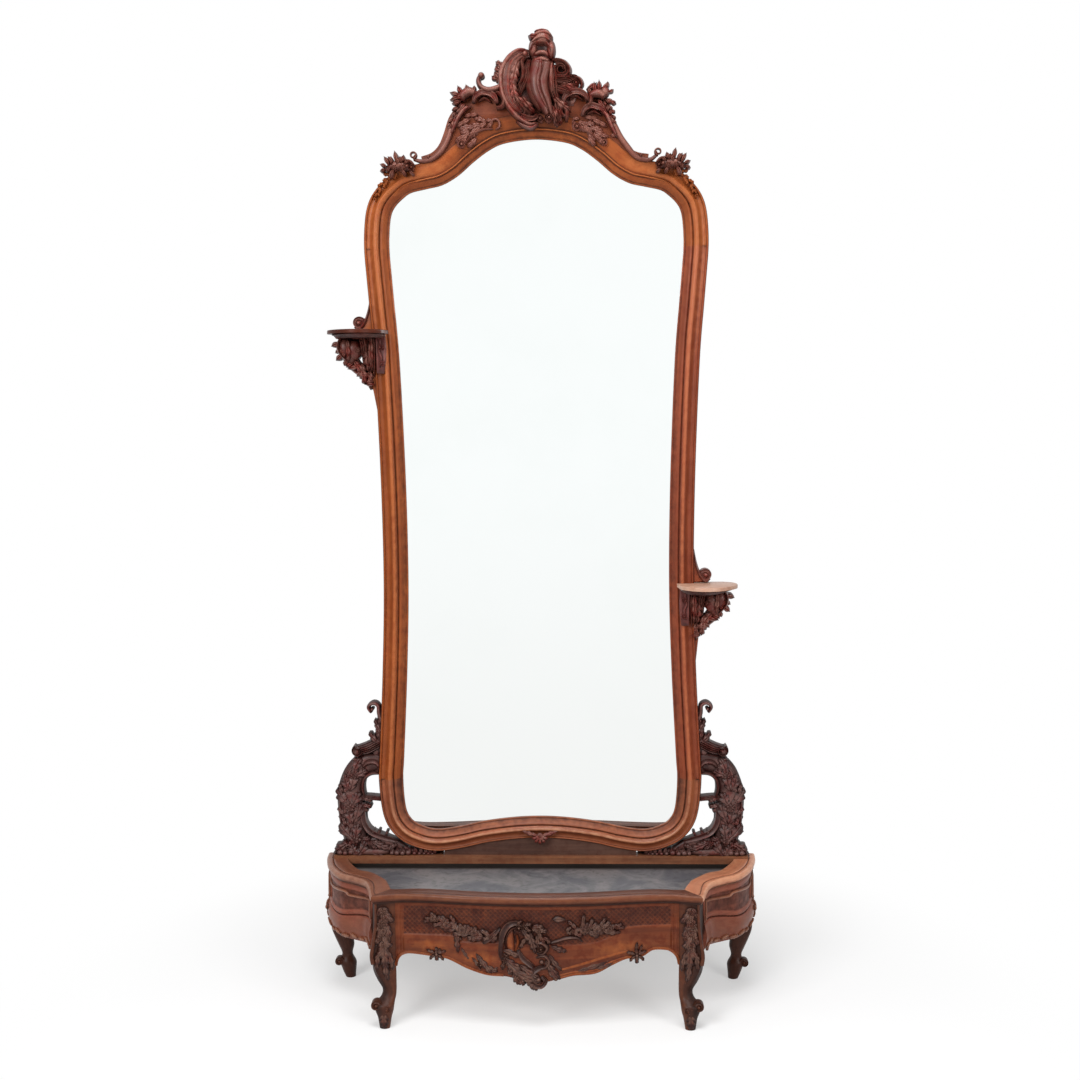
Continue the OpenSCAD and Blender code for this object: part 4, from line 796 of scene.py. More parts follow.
def cartouche():
    # The tall cartouche, off its middle: a folded bud, a fluted wing with a rolled rim, a trunk of
    # three soft ribs, and the leaves and curls at its right.
    shells = [
        # bud
        dome(19, 159, 33, 34, 4, 1.15, 0.5), dome(22, 187, 29, 40, 4, 0.8), dome(45, 158, 13, 40, 4, 2.0),
        dome(-2, 162, 13, 38, 4, 1.9), leaf(11, 187, 158, 27, 18, 16, 1, 38, 6),
        scroll((-8, 149, -5, 167, 8, 174, 29, 174, 42, 161, 45, 140), (10, 15, 15, 15, 14, 10),
            (34, 38, 41, 40, 38, 32), "ridge", 12),
        scroll((-8, 172, 8, 185, 29, 187, 45, 176), (7, 14, 14, 8), (32, 36, 36, 32), "round", 12),
        scroll((-5, 190, 14, 200, 35, 200, 48, 189), (8, 14, 14, 8), (28, 32, 32, 28), "round", 12),
        scroll((1, 205, 22, 208, 40, 205), (6, 9, 6), (28, 30, 28), "round", 8),
        scroll((0, 141, 13, 148, 29, 148, 40, 138), (10, 16, 16, 10), (32, 38, 38, 32), "round", 8),
        scroll((-3, 128, 19, 133, 42, 127), (12, 18, 12), (32, 36, 32), "round", 6),
        # trunk
        *softened([
            scroll((16, 133, 10, 110, 5, 84, 5, 58, 12, 32, 26, 9, 36, -15), (44, 44, 42, 36, 30, 24, 12),
                (26, 30, 32, 32, 32, 30, 24), "round", 14, 0.04),
            scroll((34, 130, 29, 104, 23, 79, 26, 53, 34, 29, 41, 6, 47, -15), (26, 30, 30, 26, 22, 16, 9),
                (22, 26, 28, 30, 32, 30, 26), "round", 16, 0.04),
            scroll((3, 128, -6, 102, -11, 76, -9, 51, 2, 25, 18, 1), (14, 20, 22, 22, 18, 10),
                (20, 24, 28, 28, 28, 24), "ridge", 12, 0.04),
            scroll((18, 130, 16, 105, 10, 79, 13, 53, 23, 27, 36, 1), (10, 13, 13, 12, 10, 6),
                (16, 18, 18, 18, 18, 14), "round", 32, 0.1)], 0.36, 0.4),
        scroll((48, 130, 45, 99, 45, 68, 50, 39), (10, 14, 13, 8), (28, 32, 32, 28), "round", 5),
        *coil(39, -20, 12, 10, 1.2, 9, 40, 4), *coil(15, -22, 9, 160, -1.1, 7, 38, 4),
        # dark backing behind the gaps
        scroll((-26, 131, -19, 66, -4, 17), (60, 60, 30), 8, "hollow", 0), dome(74, 104, 17, 8, 0),
        scroll((58, 88, 84, 62, 84, 16), (60, 66, 40), 8, "hollow", 0),
        # wing
        scroll((-13, 149, -37, 144, -56, 129, -66, 106, -69, 75, -67, 46, -54, 17, -33, -4),
            (20, 34, 44, 48, 46, 40, 32, 20), (12, 15, 16, 16, 15, 15, 15, 12), "fluted", 22, 0.05, 2),
        leaf(-40, 131, 246, 74, 30, 22, 4, 20, 22), leaf(-59, 85, 272, 84, 28, 22, 5, 20, 22),
        scroll((-16, 157, -40, 157, -61, 144, -77, 124, -88, 98, -88, 70, -83, 41, -70, 15, -54, -6, -36,
            -22, -12, -35, 9, -30), (9, 14, 17, 18, 17, 16, 16, 16, 15, 14, 13, 9),
            (28, 36, 38, 38, 38, 38, 38, 36, 36, 34, 34, 30), "round", 4, 0.04),
        scroll((-18, 144, -32, 128, -29, 105, -32, 82, -46, 61), (9, 13, 13, 11, 7), (38, 42, 40, 38, 32),
            "ridge", 4),
        dome(-24, 146, 9, 42, 4),
        scroll((-13, 136, -19, 110, -24, 84, -35, 61, -43, 38), (14, 22, 24, 20, 12), (26, 30, 30, 28, 22),
            "fluted", 4, 0.05, 2),
        # lower leaf and crescent
        scroll((-67, 54, -59, 30, -46, 10, -28, -6, -4, -14), (16, 26, 30, 26, 14), (34, 40, 42, 40, 34),
            "shell", 4, ribs=6),
        leaf(-56, 49, 300, 56, 26, 24, 3, 38, 4), leaf(-35, 38, 302, 56, 26, 14, 3, 36, 4),
        scroll((-44, -6, -22, -19, -1, -20, 10, -7), (9, 16, 14, 8), (34, 40, 40, 36), "hollow", 2),
        scroll((-49, -24, -31, -37, -9, -43, 9, -33), (6, 11, 11, 7), (24, 30, 32, 28), "round", 2),
        # leaf tips at its left
        *leaves(6, (-74, 95, 152, 38, 22, -24, 2, 22), (-77, 114, 138, 30, 18, 20, 2, 24),
            (-80, 80, 168, 36, 20, -20, 2, 22)),
        # right side
        *coil(71, 106, 21, 130, -1.4, 14, 36, 6, False), dome(69, 99, 6, 16, 4),
        scroll((45, 130, 61, 132, 82, 124, 95, 106, 90, 88), (8, 12, 13, 12, 8), (34, 40, 42, 40, 34),
            "ridge", 4),
        scroll((48, 120, 50, 86, 52, 52, 60, 24), (26, 32, 30, 16), (32, 38, 38, 30), "fluted", 4, 0.05, 2),
        scroll((45, 78, 66, 81, 87, 80, 106, 85, 121, 77), (22, 28, 28, 20, 12), (38, 38, 36, 34, 28),
            "fluted", 4, 0.05, 3),
        scroll((100, 88, 119, 83, 127, 69, 119, 54), (9, 12, 12, 7), (30, 34, 34, 28), "ridge", 4),
        *coil(111, 70, 11, 60, 1.2, 9, 32, 6), leaf(68, 68, -8, 54, 24, -20, 3, 32, 4),
        scroll((50, 58, 71, 55, 92, 47, 105, 34), (20, 24, 20, 10), (34, 36, 32, 26), "fluted", 4, 0.05, 2),
        leaf(50, 37, -52, 60, 28, 26, 3, 34, 4), leaf(58, 26, -84, 62, 24, 10, 3, 30, 4),
        scroll((60, 24, 65, 0, 65, -23, 57, -39), (14, 17, 15, 8), (32, 34, 32, 26), "fluted", 4, 0.05, 2),
        scroll((81, 16, 86, -5, 84, -28), (11, 14, 8), (26, 30, 24), "ridge", 4),
        leaf(44, 16, -70, 56, 20, -14, 3, 34, 4)]
    return onCrest(shells)


def leftScrolls():
    # Left of the cartouche: a J-shaped curl, an arch over a dark hollow, a tuft of leaves, and a
    # strip of leaves that follows the board's edge down.
    shells = [
        # the J-shaped curl and the leaf tips beside the cartouche
        scroll((-143, 96, -149, 81, -141, 65, -123, 57, -101, 60, -83, 70), (13, 14, 15, 17, 18, 14),
            (22, 26, 30, 32, 30), "round", 6, 0.05),
        dome(-141, 94, 9, 30, 8), leaf(-83, 83, 150, 32, 18, -26, 1, 26, 6),
        leaf(-74, 106, 140, 34, 18, -20, 1, 26, 6),
        # arch, and the thick scroll that runs from it into the cartouche
        scroll((-163, 24, -157, 40, -141, 50, -123, 49, -107, 39, -99, 21), (8, 13, 16, 17, 15, 9),
            (14, 20, 22, 22, 18), "hollow", 14, 0.06),
        scroll((-149, 29, -133, 37, -115, 26), (5, 7, 5), (14, 18, 14), "ridge", 4),
        scroll((-104, 52, -88, 44, -80, 28, -86, 13, -102, 10), (11, 15, 16, 13, 8), (26, 32, 32, 26),
            "ridge", 8, 0.06),
        scroll((-128, 62, -107, 54, -85, 54, -70, 44), (8, 13, 14, 9), (24, 30, 28), "hollow", 6),
        # tuft of small pointed leaves and the lump beside it
        scroll((-195, 30, -189, 45, -173, 53, -155, 47), (16, 26, 26, 14), (24, 32, 30), "round", 8, 0.1),
        *leaves(8, (-176, 48, 100, 24, 13, 10, 1, 30), (-163, 47, 72, 22, 12, 20, 1, 28),
            (-189, 43, 128, 30, 14, -16, 1, 28), (-195, 40, 152, 32, 14, 14, 1, 26),
            (-197, 35, 176, 28, 13, 20, 1, 26), (-195, 30, 204, 26, 13, -14, 1, 24),
            (-189, 37, 186, 22, 10, -20, 1, 32)),
        leaf(-184, 22, 228, 34, 16, 10, 2, 24, 6), dome(-200, 40, 5, 30, 8, dimple=0.3)]
    # strip of leaves down the board's outer edge
    shells += foliage((-189, 22, -206, 4, -217, -17, -228, -43), (30, 26, 22, 14), 16, 5, 5, 1, 0.4, 0)
    shells += [scroll((-171, 16, -187, 9, -200, -7, -211, -27, -225, -58), (9, 13, 12, 10, 7),
        (20, 22, 18, 14), "round", 5)]
    return onCrest(shells)


def rightScrolls():
    # Right of the cartouche: two arches, a tuft of leaves with a lump, and the strip of leaves.
    shells = [
        # the two arches, each over a dark hollow
        scroll((76, 18, 81, 36, 97, 47, 116, 49, 134, 41, 142, 23), (8, 14, 17, 17, 14, 8),
            (14, 20, 24, 24, 18), "hollow", 14, 0.06),
        scroll((92, 29, 111, 39, 129, 28), (5, 8, 5), (14, 20, 14), "ridge", 4),
        scroll((142, 46, 150, 33, 148, 17, 137, 10), (8, 13, 12, 7), (24, 32, 26), "ridge", 8),
        scroll((126, -13, 132, 2, 148, 12, 166, 9, 182, 1, 190, -14), (8, 13, 16, 16, 13, 8),
            (14, 20, 22, 20, 16), "hollow", 14, 0.06),
        scroll((139, -8, 158, -1, 177, -11), (5, 8, 5), (12, 18, 12), "ridge", 4),
        scroll((76, 26, 68, 11, 73, -8, 89, -16), (8, 12, 12, 8), (22, 28, 22), "ridge", 6),
        # tuft of pointed leaves and the round lump beside it
        dome(187, 48, 13, 30, 8, 1.2),
        scroll((145, 36, 158, 43, 174, 43, 187, 32), (14, 24, 26, 16), (24, 32, 30), "round", 8, 0.1),
        *leaves(8, (163, 41, 104, 34, 14, -14, 1, 30), (171, 43, 84, 36, 14, 10, 1, 30),
            (179, 46, 62, 32, 13, -16, 1, 28), (190, 53, 70, 22, 12, 16, 1, 28),
            (153, 38, 124, 26, 12, -20, 1, 28), (195, 45, 20, 18, 10, 24, 1, 24)),
        *leaves(6, (190, 30, -30, 30, 15, 10, 2, 24), (169, 28, -60, 34, 16, 14, 2, 26),
            (137, 54, 24, 34, 15, 20, 1, 26))]
    shells += foliage((187, 27, 198, 9, 206, -12, 214, -38), (30, 26, 22, 14), 16, 5, 5, 1, 1.4, 0)
    shells += [scroll((177, -1, 190, -9, 198, -25, 206, -43, 219, -69), (9, 13, 12, 10, 7), (20, 22, 18, 14),
        "round", 5)]
    return onCrest(shells)


def spray(side):
    # Low soft leaves that trail over the ground from beside the cartouche out to the board's edge,
    # with a small loop at their inner end and a ring at their outer end.
    if side < 0:
        shells = foliage((-113, -21, -139, -28, -164, -41, -185, -56, -199, -72), (34, 50, 54, 44, 30), 9, 6,
            1.5, 3, 0.5, 0)
        shells += [
            scroll((-118, -29, -110, -18, -97, -21, -94, -37, -105, -44), (5, 8, 8, 8, 5), (10, 12, 10),
                "round", 2),
            *coil(-196, -82, 12, 60, 1.3, 7, 11, 2),
            scroll((-113, -42, -140, -44, -166, -57, -188, -80), (5, 8, 8, 5), (9, 12, 9), "ridge", 2),
            leaf(-171, -17, 196, 44, 18, 20, 2, 12, 2), leaf(-150, -5, 176, 40, 16, 24, 2, 12, 2),
            leaf(-156, -65, 232, 34, 18, -20, 2, 10, 1), leaf(-212, -48, 140, 26, 14, 20, 2, 12, 2)]
    else:
        shells = foliage((100, -21, 123, -32, 147, -45, 168, -61, 184, -76), (32, 48, 52, 42, 28), 9, 6, 1.5,
            3, 1.5, 0)
        shells += [
            *coil(113, -39, 12, 120, 1.3, 7, 12, 2), *coil(184, -82, 10, 150, -1.2, 6, 10, 2),
            scroll((100, -31, 126, -45, 153, -60, 174, -82), (5, 8, 8, 5), (9, 12, 9), "ridge", 2),
            *leaves(2, (153, -22, -16, 44, 18, -20, 2, 12), (131, -16, 4, 40, 16, -24, 2, 12),
                (200, -64, 6, 26, 14, -20, 2, 12)),
            leaf(142, -66, -58, 30, 16, 20, 2, 10, 1)]
    return onCrest(shells)


carvedPiece("crest_cartouche_carving", cartouche(), wood["carved walnut"], "crest_cartouche")
carvedPiece("crest_left_scroll_carving", leftScrolls(), wood["carved walnut"], "crest_left_scroll")
carvedPiece("crest_right_scroll_carving", rightScrolls(), wood["carved walnut"], "crest_right_scroll")
carvedPiece("crest_left_spray_carving", spray(-1), wood["spray walnut"], "crest_left_spray")
carvedPiece("crest_right_spray_carving", spray(1), wood["spray walnut"], "crest_right_spray")
print("crest carved")


# shoulders: star-like leaves and flowers, and a trail down over the frame's outer corner
shoulderY = frameFront + 18


def shoulderShells():
    # Drawn for the left side: pointed leaves in a star round three small flowers, and a ring and a
    # bud at their inner end.
    shells = [
        scroll((-392, -151, -373, -143, -349, -143, -325, -149), (16, 26, 26, 16), (14, 22, 20, 14), "round",
            20),
        *coil(-325, -149, 9, 60, 1.3, 6, 20, 22),
        scroll((-360, -135, -344, -130, -328, -133, -317, -144), (6, 9, 9, 5), (20, 26, 24), "ridge", 22),
        dome(-336, -146, 5, 26, 24)]
    for start, angle, reach, width in (
        ((-365, -138), 92, 34, 13), ((-373, -138), 122, 24, 12), ((-354, -138), 62, 24, 12),
        ((-365, -143), 60, 26, 11), ((-384, -145), 112, 30, 12), ((-389, -148), 150, 22, 11),
        ((-379, -143), 84, 24, 10), ((-392, -153), 190, 18, 10), ((-346, -141), 34, 20, 10),
        ((-371, -153), 236, 26, 13), ((-349, -154), 290, 18, 11), ((-331, -159), 320, 16, 10)):
        shells.append(leaf(*start, angle, reach, width, 14, 1, 24, 24))
    for spot, r in (((-349, -149), 12), ((-371, -148), 11), ((-387, -153), 9)):
        shells += flower(*spot, r, 5, 22, r * 20, 24)
    return placed(shells, -5, shoulderY, crestZ + 5)


def shoulderTrail():
    # Low leaves in the frame's own colour that trail down over its outer corner.
    shells = foliage((-373, -151, -395, -166, -411, -187, -425, -211, -436, -234), (30, 28, 24, 18, 8), 9, 7,
        10, 2, 0.4, 0)
    return placed(shells, 0, shoulderY, crestZ)


bothSides("{}_shoulder_carving", shoulderShells(), wood["spray walnut"], "{}_shoulder_leaf", drawn="left")
bothSides("{}_shoulder_trail", shoulderTrail(), wood["golden walnut"], drawn="left")


# shelves with their brackets and volutes, drawn for the right side from the stile's outer
# edge and the shelf's underside
shelf = {"length": 164, "depth": 150, "thick": 10, "cove": 11, "left": 1815, "right": 1122}


def shelfBoard(edge, z):
    # An oval board with a rounded edge and a notch around the stile: its plan is laid upright,
    # given its edge, and turned level.
    length, depth, thick = shelf["length"], shelf["depth"], shelf["thick"]
    back = size["frameBack"] - 6
    front = back - depth
    oval = curveThrough([(edge + length * a, front + depth * b) for a, b in (
        (-0.28, 0.62), (-0.22, 0.3), (-0.05, 0.08), (0.18, 0), (0.42, 0.1), (0.62, 0.34), (0.71, 0.62),
        (0.66, 0.88), (0.5, 1))], 8)
    notch = [(edge, back), (edge, frameFront - 0.4), (edge - 0.29 * length, frameFront - 0.4)]
    plate = plateShell(np.vstack([oval, notch]), thick - z, -z, 2.5)
    # the cove below it keeps to the same plan, set in, and narrows downwards
    middle = np.array([edge - 0.05 * length, front + 0.62 * depth])
    under = middle + (oval - middle) * [0.9, 0.95]
    cove = plateShell(under[under[:, 1] < frameFront - 2], thick - z + shelf["cove"], thick - z + 0.5, 3)
    low = cove["points"][:, 1] > thick - z + 0.8 * shelf["cove"]
    for axis, centre, share in ((0, middle[0], 0.8), (2, middle[1], 0.9)):
        cove["points"][low, axis] = centre + (cove["points"][low, axis] - centre) * share
    # the cove under the board is darkened: painted shade
    cove["relief"][:] = 0.3
    return [moved([part], lambda p: np.stack([p[:, 0], p[:, 2], -p[:, 1]], axis=1))
            for part in (plate, cove)]


def bracketShells():
    # Two rounded lobes with a rolled edge, a pierced foot, pointed leaves that stand out along its
    # outer edge, and the panel with two buds on the stile.
    shells = [
        scroll((62, 3, 68, -30, 62, -58, 50, -80, 28, -102, 8, -128, -6, -150), (44, 48, 44, 36, 32, 22, 10),
            (14, 16, 16, 12), "hollow", 10, 0.02),
        scroll((12, 3, 14, -40, 12, -80, 4, -104, -6, -136), (34, 32, 30, 26, 14), (14, 16, 14), "hollow",
            10, 0.02),
        scroll((38, 3, 38, -28, 38, -60), (30, 28, 20), 16, "hollow", 10, 0.02),
        scroll((-12, -1, 16, -4, 46, -4, 78, 0), (10, 18, 18, 6), (50, 60, 60, 40), "ridge", 30, 0.02),
        *softened([dome(72, -38, 19, 24, 30, 1.5), dome(48, -42, 21, 26, 30, 1.35),
                   dome(60, -64, 17, 20, 28, 1.0)], 0.45, 0.3),
        leaf(62, -14, 264, 62, 17, 12, 3, 20, 44), leaf(84, -34, 250, 34, 13, -20, 2, 16, 40),
        scroll((66, -4, 82, -10, 90, -26, 88, -46, 77, -62, 62, -74), (6, 9, 11, 11, 10, 6),
            (34, 40, 42, 40, 34), "ridge", 20, 0.05),
        scroll((26, -2, 20, -24, 19, -44, 24, -58), (18, 22, 22, 14), (38, 44, 40, 34), "fluted", 26, 0.05,
            2),
        *flower(34, -42, 9, 5, 30, 20, 40), *flower(16, -30, 9, 5, 24, 50, 36),
        leaf(14, -2, 262, 100, 34, 10, 5, 28, 24), leaf(28, -78, 258, 58, 28, 10, 3, 26, 20),
        leaf(50, -70, 226, 54, 24, 20, 3, 26, 20), leaf(6, -84, 268, 66, 20, 4, 4, 22, 18),
        leaf(0, 0, 268, 100, 18, 2, 4, 30, 34),
        scroll((-6, 2, -9, -40, -8, -84, -5, -116), (9, 10, 9, 5), (50, 54, 52, 46), "ridge", 2)]
    for start, angle, reach, width in (
        ((80, -8), 14, 22, 13), ((82, -22), -12, 30, 16), ((80, -40), -20, 22, 13), ((74, -52), -30, 30, 16),
        ((64, -66), -50, 22, 14), ((48, -76), -22, 26, 14), ((28, -86), -4, 40, 15),
        ((24, -98), -34, 24, 13), ((4, -108), 2, 34, 14), ((0, -122), -34, 20, 12), ((-8, -136), 6, 26, 12)):
        shells.append(leaf(*start, angle, reach, width, -14, 1, 22, 24))
    panel = [scroll((-25, 0, -27, -34, -27, -70, -25, -106), (27, 28, 26, 20), (4, 5, 5, 3), "hollow", 46,
        0.2)]
    panel += [
        *coil(-26, -36, 8, 60, 1.2, 5, 9, 50), *coil(-29, -80, 7, 60, 1.2, 5, 9, 50),
        scroll((-20, -8, -25, -22, -22, -46, -28, -64, -23, -90), (5, 8, 8, 8, 4), (7, 9, 7), "ridge", 49)]
    return shells, panel


def voluteShells():
    # A coil with an eye, and a stem that sweeps from it up the stile.
    return [
        *coil(33, 21, 15, 200, -1.5, 11, 14, 18), dome(33, 21, 7, 15, 18),
        scroll((44, 12, 33, 4, 20, 16, 10, 38, 4, 62, 0, 92), (9, 11, 10, 8, 6, 3), (18, 20, 18, 10),
            "ridge", 16)]


flareDepth = 26


def flareShells():
    # The wood between the volute and the stile, in the stile's own colour.
    curve = curveThrough([(34, 2), (30, 12), (19, 24), (9, 44), (3, 70), (-2, 96)], 5)
    return [plateShell(np.vstack([curve, [(-14, 96), (-14, 1), (30, 1)]]), 0, -flareDepth, 3)]


def footFlare(edge, z):
    # The stile swells a little below the bracket's foot.
    down = np.array([96, 120, 146, 172, 200, 226])
    curve = curveThrough([(edgeX(z - d) - edge + out, -d) for d, out in zip(down, (16, 14, 11, 7, 3, -1))], 4)
    inside = [(edgeX(z - d) - edge - 10, -d) for d in (226, 160, 96)]
    return [plateShell(np.vstack([curve, inside]), 0, -flareDepth, 3)]


def atStile(parts, x, z):
    # Set against the frame's back, from the point x, z.
    return placed(parts, x, size["frameBack"] - 4, z)


for name, stileWood in (("left", wood["golden walnut"]), ("right", wood["red walnut partly in painted shade"])):
    z = shelf[name]
    edge = float(max(edgeX(z), edgeX(z - shelf["thick"]))) + 0.4
    carving, panel = bracketShells()
    flares = atStile(flareShells(), float(edgeX(z + 30)), z) + atStile(footFlare(edge, z), edge, z)
    board, cove = shelfBoard(edge, z)
    parts = [board, cove + atStile(carving, edge, z - shelf["thick"]),
             atStile(voluteShells(), float(edgeX(z + 30)), z), flares,
             atStile(panel, edge, z - shelf["thick"])]
    if name == "left":
        parts = [mirrored(p) for p in parts]
    pieceObject(name + "_shelf_board", parts[0], wood[name + " shelf walnut with painted light and shade"], (name + "_shelf",))
    carvedPiece(name + "_shelf_bracket_carving", parts[1], wood["carved walnut"], name + "_shelf_bracket")
    carvedPiece(name + "_shelf_volute_carving", parts[2], wood["carved walnut"], name + "_shelf_volute")
    pieceObject(name + "_stile_flare", parts[3], stileWood)
    carvedPiece(name + "_stile_panel", parts[4], wood["panel walnut"])


# consoles, drawn for the right side from the frame's foot, outwards and up
def consoleShells():
    # Arch, foot, the rims of two openings with a strut between them, a base with paws, and a roll
    # with a stem and a volute on top.
    body = [(65, -3), (68, 35), (73, 75), (77, 121), (82, 161), (79, 198), (64, 235), (35, 258), (-26, 263)]
    shells = [
        # arch
        scroll(body, (66, 66, 76, 80, 72, 66, 62, 54, 46), (12, 16, 18, 18, 18, 18, 16, 14), "round", 16,
            0.02),
        *foliage(body[:8], (74, 84, 84, 74, 62), 14, 6, 27, 3, 0.6, 2),
        *foliage((88, 23, 92, 80, 100, 138, 99, 189, 78, 238), (34, 40, 34), 12, 7, 27, 2, 2.0, 0),
        scroll((93, 17, 96, 46, 106, 80, 111, 120, 110, 161, 104, 198, 86, 238, 61, 260),
            (7, 8, 9, 9, 9, 9, 9, 6), (12, 14, 14, 12), "ridge", 20, 0.04),
        # foot
        *[leaf(101, 69, a, 17, 10, 20, 1, 12, 20) for a in (-20, 12)],
        leaf(100, 103, 8, 17, 10, 20, 1, 12, 20), leaf(85, 34, -24, 48, 30, -20, 3, 20, 20),
        scroll((130, -3, 113, 11, 85, 14, 51, 0), (12, 24, 26, 12), (18, 24, 24, 18), "fluted", 14, 0.1, 2),
        # rim of the upper opening, and the leaf that hangs into it
        scroll((-15, 232, 19, 232, 39, 218, 45, 192, 40, 163), (9, 11, 11, 11, 8), (14, 17, 17, 14), "ridge",
            24, 0.05),
        scroll((47, 246, 30, 263, 7, 263, -4, 246, 11, 235), (12, 18, 18, 14, 8), (18, 22, 22, 18), "ridge",
            22),
        leaf(2, 255, -130, 30, 18, 30, 2, 18, 22),
        # strut
        scroll((60, 161, 32, 163, 3, 161, -25, 158), (20, 15, 14, 18), (10, 12, 12), "fluted", 24, 0.02, 2),
        leaf(43, 163, -150, 26, 14, -20, 2, 14, 24),
        # rim of the lower opening, and the spiky leaf in it
        leaf(46, 143, -158, 26, 17, -24, 2, 14, 22), leaf(40, 135, -120, 16, 10, 10, 1, 14, 22),
        scroll((43, 149, 46, 118, 41, 89, 25, 66, -6, 52, -51, 38), (12, 15, 16, 17, 15, 8),
            (12, 15, 15, 12), "hollow", 24, 0.05),
        dome(7, 292, 13, 14, 14),
        *[leaf(*p, a, 14, 9, 10, 1, 14, 22) for p, a in (((19, 58), 100), ((0, 58), 80), ((-17, 55), 110))],
        # base, with its paws
        scroll((-45, 23, -73, 15, -101, 6, -135, 0, -166, -2), (20, 18, 16, 14, 8), 14, "round", 14),
        scroll((113, 3, 68, 20, 17, 29, -34, 29, -90, 6), (22, 40, 46, 34, 10), (10, 14, 14, 10), "round",
            16, 0.05),
        *foliage((50, 46, 6, 23, -34, 17, -78, 3), (44, 38, 20), 12, 5, 26, 3, 1.0, 2),
        leaf(22, 40, -150, 66, 26, -16, 4, 16, 26), leaf(40, 17, 200, 60, 22, 10, 3, 16, 24)]
    shells.append(scroll((84, 10, 50, 9, 10, 9, -34, 10), (18, 22, 22, 18), (14, 18, 18, 14), "round", 22))
    for x, r, h in (
        (112, 10, 15), (97, 9, 18), (82, 10, 15), (66, 7, 12), (-34, 8, 13), (-48, 10, 17), (-64, 9, 18),
        (-80, 10, 15), (-97, 7, 12), (-111, 6, 11), (-124, 5, 10), (-136, 5, 9), (-147, 4, 8)):
        shells += [dome(x, r * 0.7, r, h, 26, 0.9), leaf(x, 24, 262 + x / 10, 26, 12, 0, 1, h, 24)]
    shells += [
        # roll
        scroll((-27, 331, 1, 317, 29, 303, 57, 295), (30, 32, 33, 28), (20, 24, 26, 22), "fluted", 16, 0.02,
            3),
        dome(60, 295, 15, 26, 16, 0.95), *coil(57, 297, 14, 60, -1.2, 9, 28, 18),
        leaf(52, 269, 12, 22, 13, -20, 1, 20, 18), leaf(-10, 303, -160, 36, 22, -20, 2, 26, 16),
        # stem with its leaves and volute
        scroll((-21, 275, -16, 314, -5, 351, -6, 385, -9, 416), (44, 40, 28, 18, 10), (16, 18, 16, 12),
            "fluted", 18, 0.03, 2),
        *leaves(20, (-8, 317, 28, 46, 20, 30, 3, 18), (-5, 331, 60, 34, 14, 50, 2, 18),
            (-11, 346, 50, 44, 16, 24, 3, 16)),
        leaf(-8, 360, 88, 40, 14, -20, 3, 14, 18),
        scroll((-14, 371, -3, 399, -1, 422, 13, 430, 27, 419, 19, 402), (14, 13, 12, 12, 10, 7),
            (14, 16, 15), "round", 18, 0.05),
        dome(16, 413, 5, 20, 16)]
    return shells


bottomEdge = edgeLine[:footI + 1]
footZ = size["sightZ"] + size["footRise"]


def behindFrame(p):
    # Points that would come through the moulding are sunk into the thickness of the frame.
    x, z = np.abs(p[:, 0]), p[:, 2]
    inside = np.where(z > footZ, x < edgeX(z) - 0.5, (x < edgeX(footZ)) & (
        z > np.interp(x, bottomEdge[:, 0], bottomEdge[:, 1]) + 0.5))
    deep = size["frameBack"] - 14
    return np.stack([p[:, 0], np.where(inside, np.maximum(p[:, 1], deep), p[:, 1]),
                     np.maximum(z, size["plinthZ"])], axis=1)


consoles = placed(consoleShells(), float(edgeX(footZ)), size["frameBack"] - 2, size["plinthZ"])
bothSides("{}_console_carving", moved(consoles, behindFrame), wood["console walnut"], "{}_console")


# shell ornament in the middle of the bottom rail
def railShell():
    # Five leaves fan out below, one lies to each side, and a button covers where they meet.
    shellZ = 416
    shells = [leaf(0, 0, 270 + a, 24, 12, 0, 2, 8) for a in (-70, -35, 0, 35, 70)]
    shells += [leaf(6, 2, 8, 44, 13, 16, 3, 8), leaf(-6, 2, 172, 44, 13, -16, 3, 8),
               dome(0, 0, 9, 9, dimple=0.3)]
    return placed(shells, 0, frameFront + 0.5, shellZ)


carvedPiece("bottom_rail_shell_carving", railShell(), wood["carved walnut"], "bottom_rail_shell")
print("frame carvings made")


# rim of the stand in plan, and the line of the aprons under it
wallY = size["wallY"]
cornerX, rimBow, halfBase, baseDepth = 428, 34, 602, 400
rimThickness = size["rimThickness"]
cornerY = rimBow * 0.53 - wallY
rimSide, rimFront, rimOver = 64, 48, 14
frontLine = curveThrough([(cornerX * a, rimBow * b - wallY) for a, b in (
    (0, 0), (0.19, 0.09), (0.42, 0.38), (0.65, 0.85), (0.82, 1), (0.92, 0.76), (1, 0.53))], 10)
sideRun = halfBase - cornerX
sidePoints = [(cornerX + sideRun * a, cornerY + baseDepth * b) for a, b in (
    (0, 0), (0.035, 0.045), (0.1, 0.18), (0.2, 0.305), (0.41, 0.392), (0.67, 0.48), (0.87, 0.643),
    (0.975, 0.83))] + [(halfBase, wallY)]
sideLine = curveThrough(sidePoints, 8)
innerCorner = np.array([cornerX - rimFront * 0.92, cornerY + rimFront * 1.25])
backRimX, backRimY = halfBase - rimSide, frameFront - 1
t = np.linspace(0, 1, len(frontLine))
frontInner = np.stack([
    frontLine[:, 0] * innerCorner[0] / cornerX,
    frontLine[:, 1] + rimFront + (innerCorner[1] - cornerY - rimFront) * t ** 6], axis=1)
frontInner[-1] = innerCorner
inward = [(-0.69, 1), (-0.73, 0.6), (-0.8, 0.35), (-0.69, 0.72), (-0.85, 0.5), (-0.97, 0.22)]
sideInner = curveThrough(
    [tuple(innerCorner)] + [(sidePoints[k + 1][0] + rimSide * d[0], sidePoints[k + 1][1] + rimSide * d[1])
                            for k, d in enumerate(inward)]
    + [(backRimX, backRimY), (backRimX, wallY)], 8)
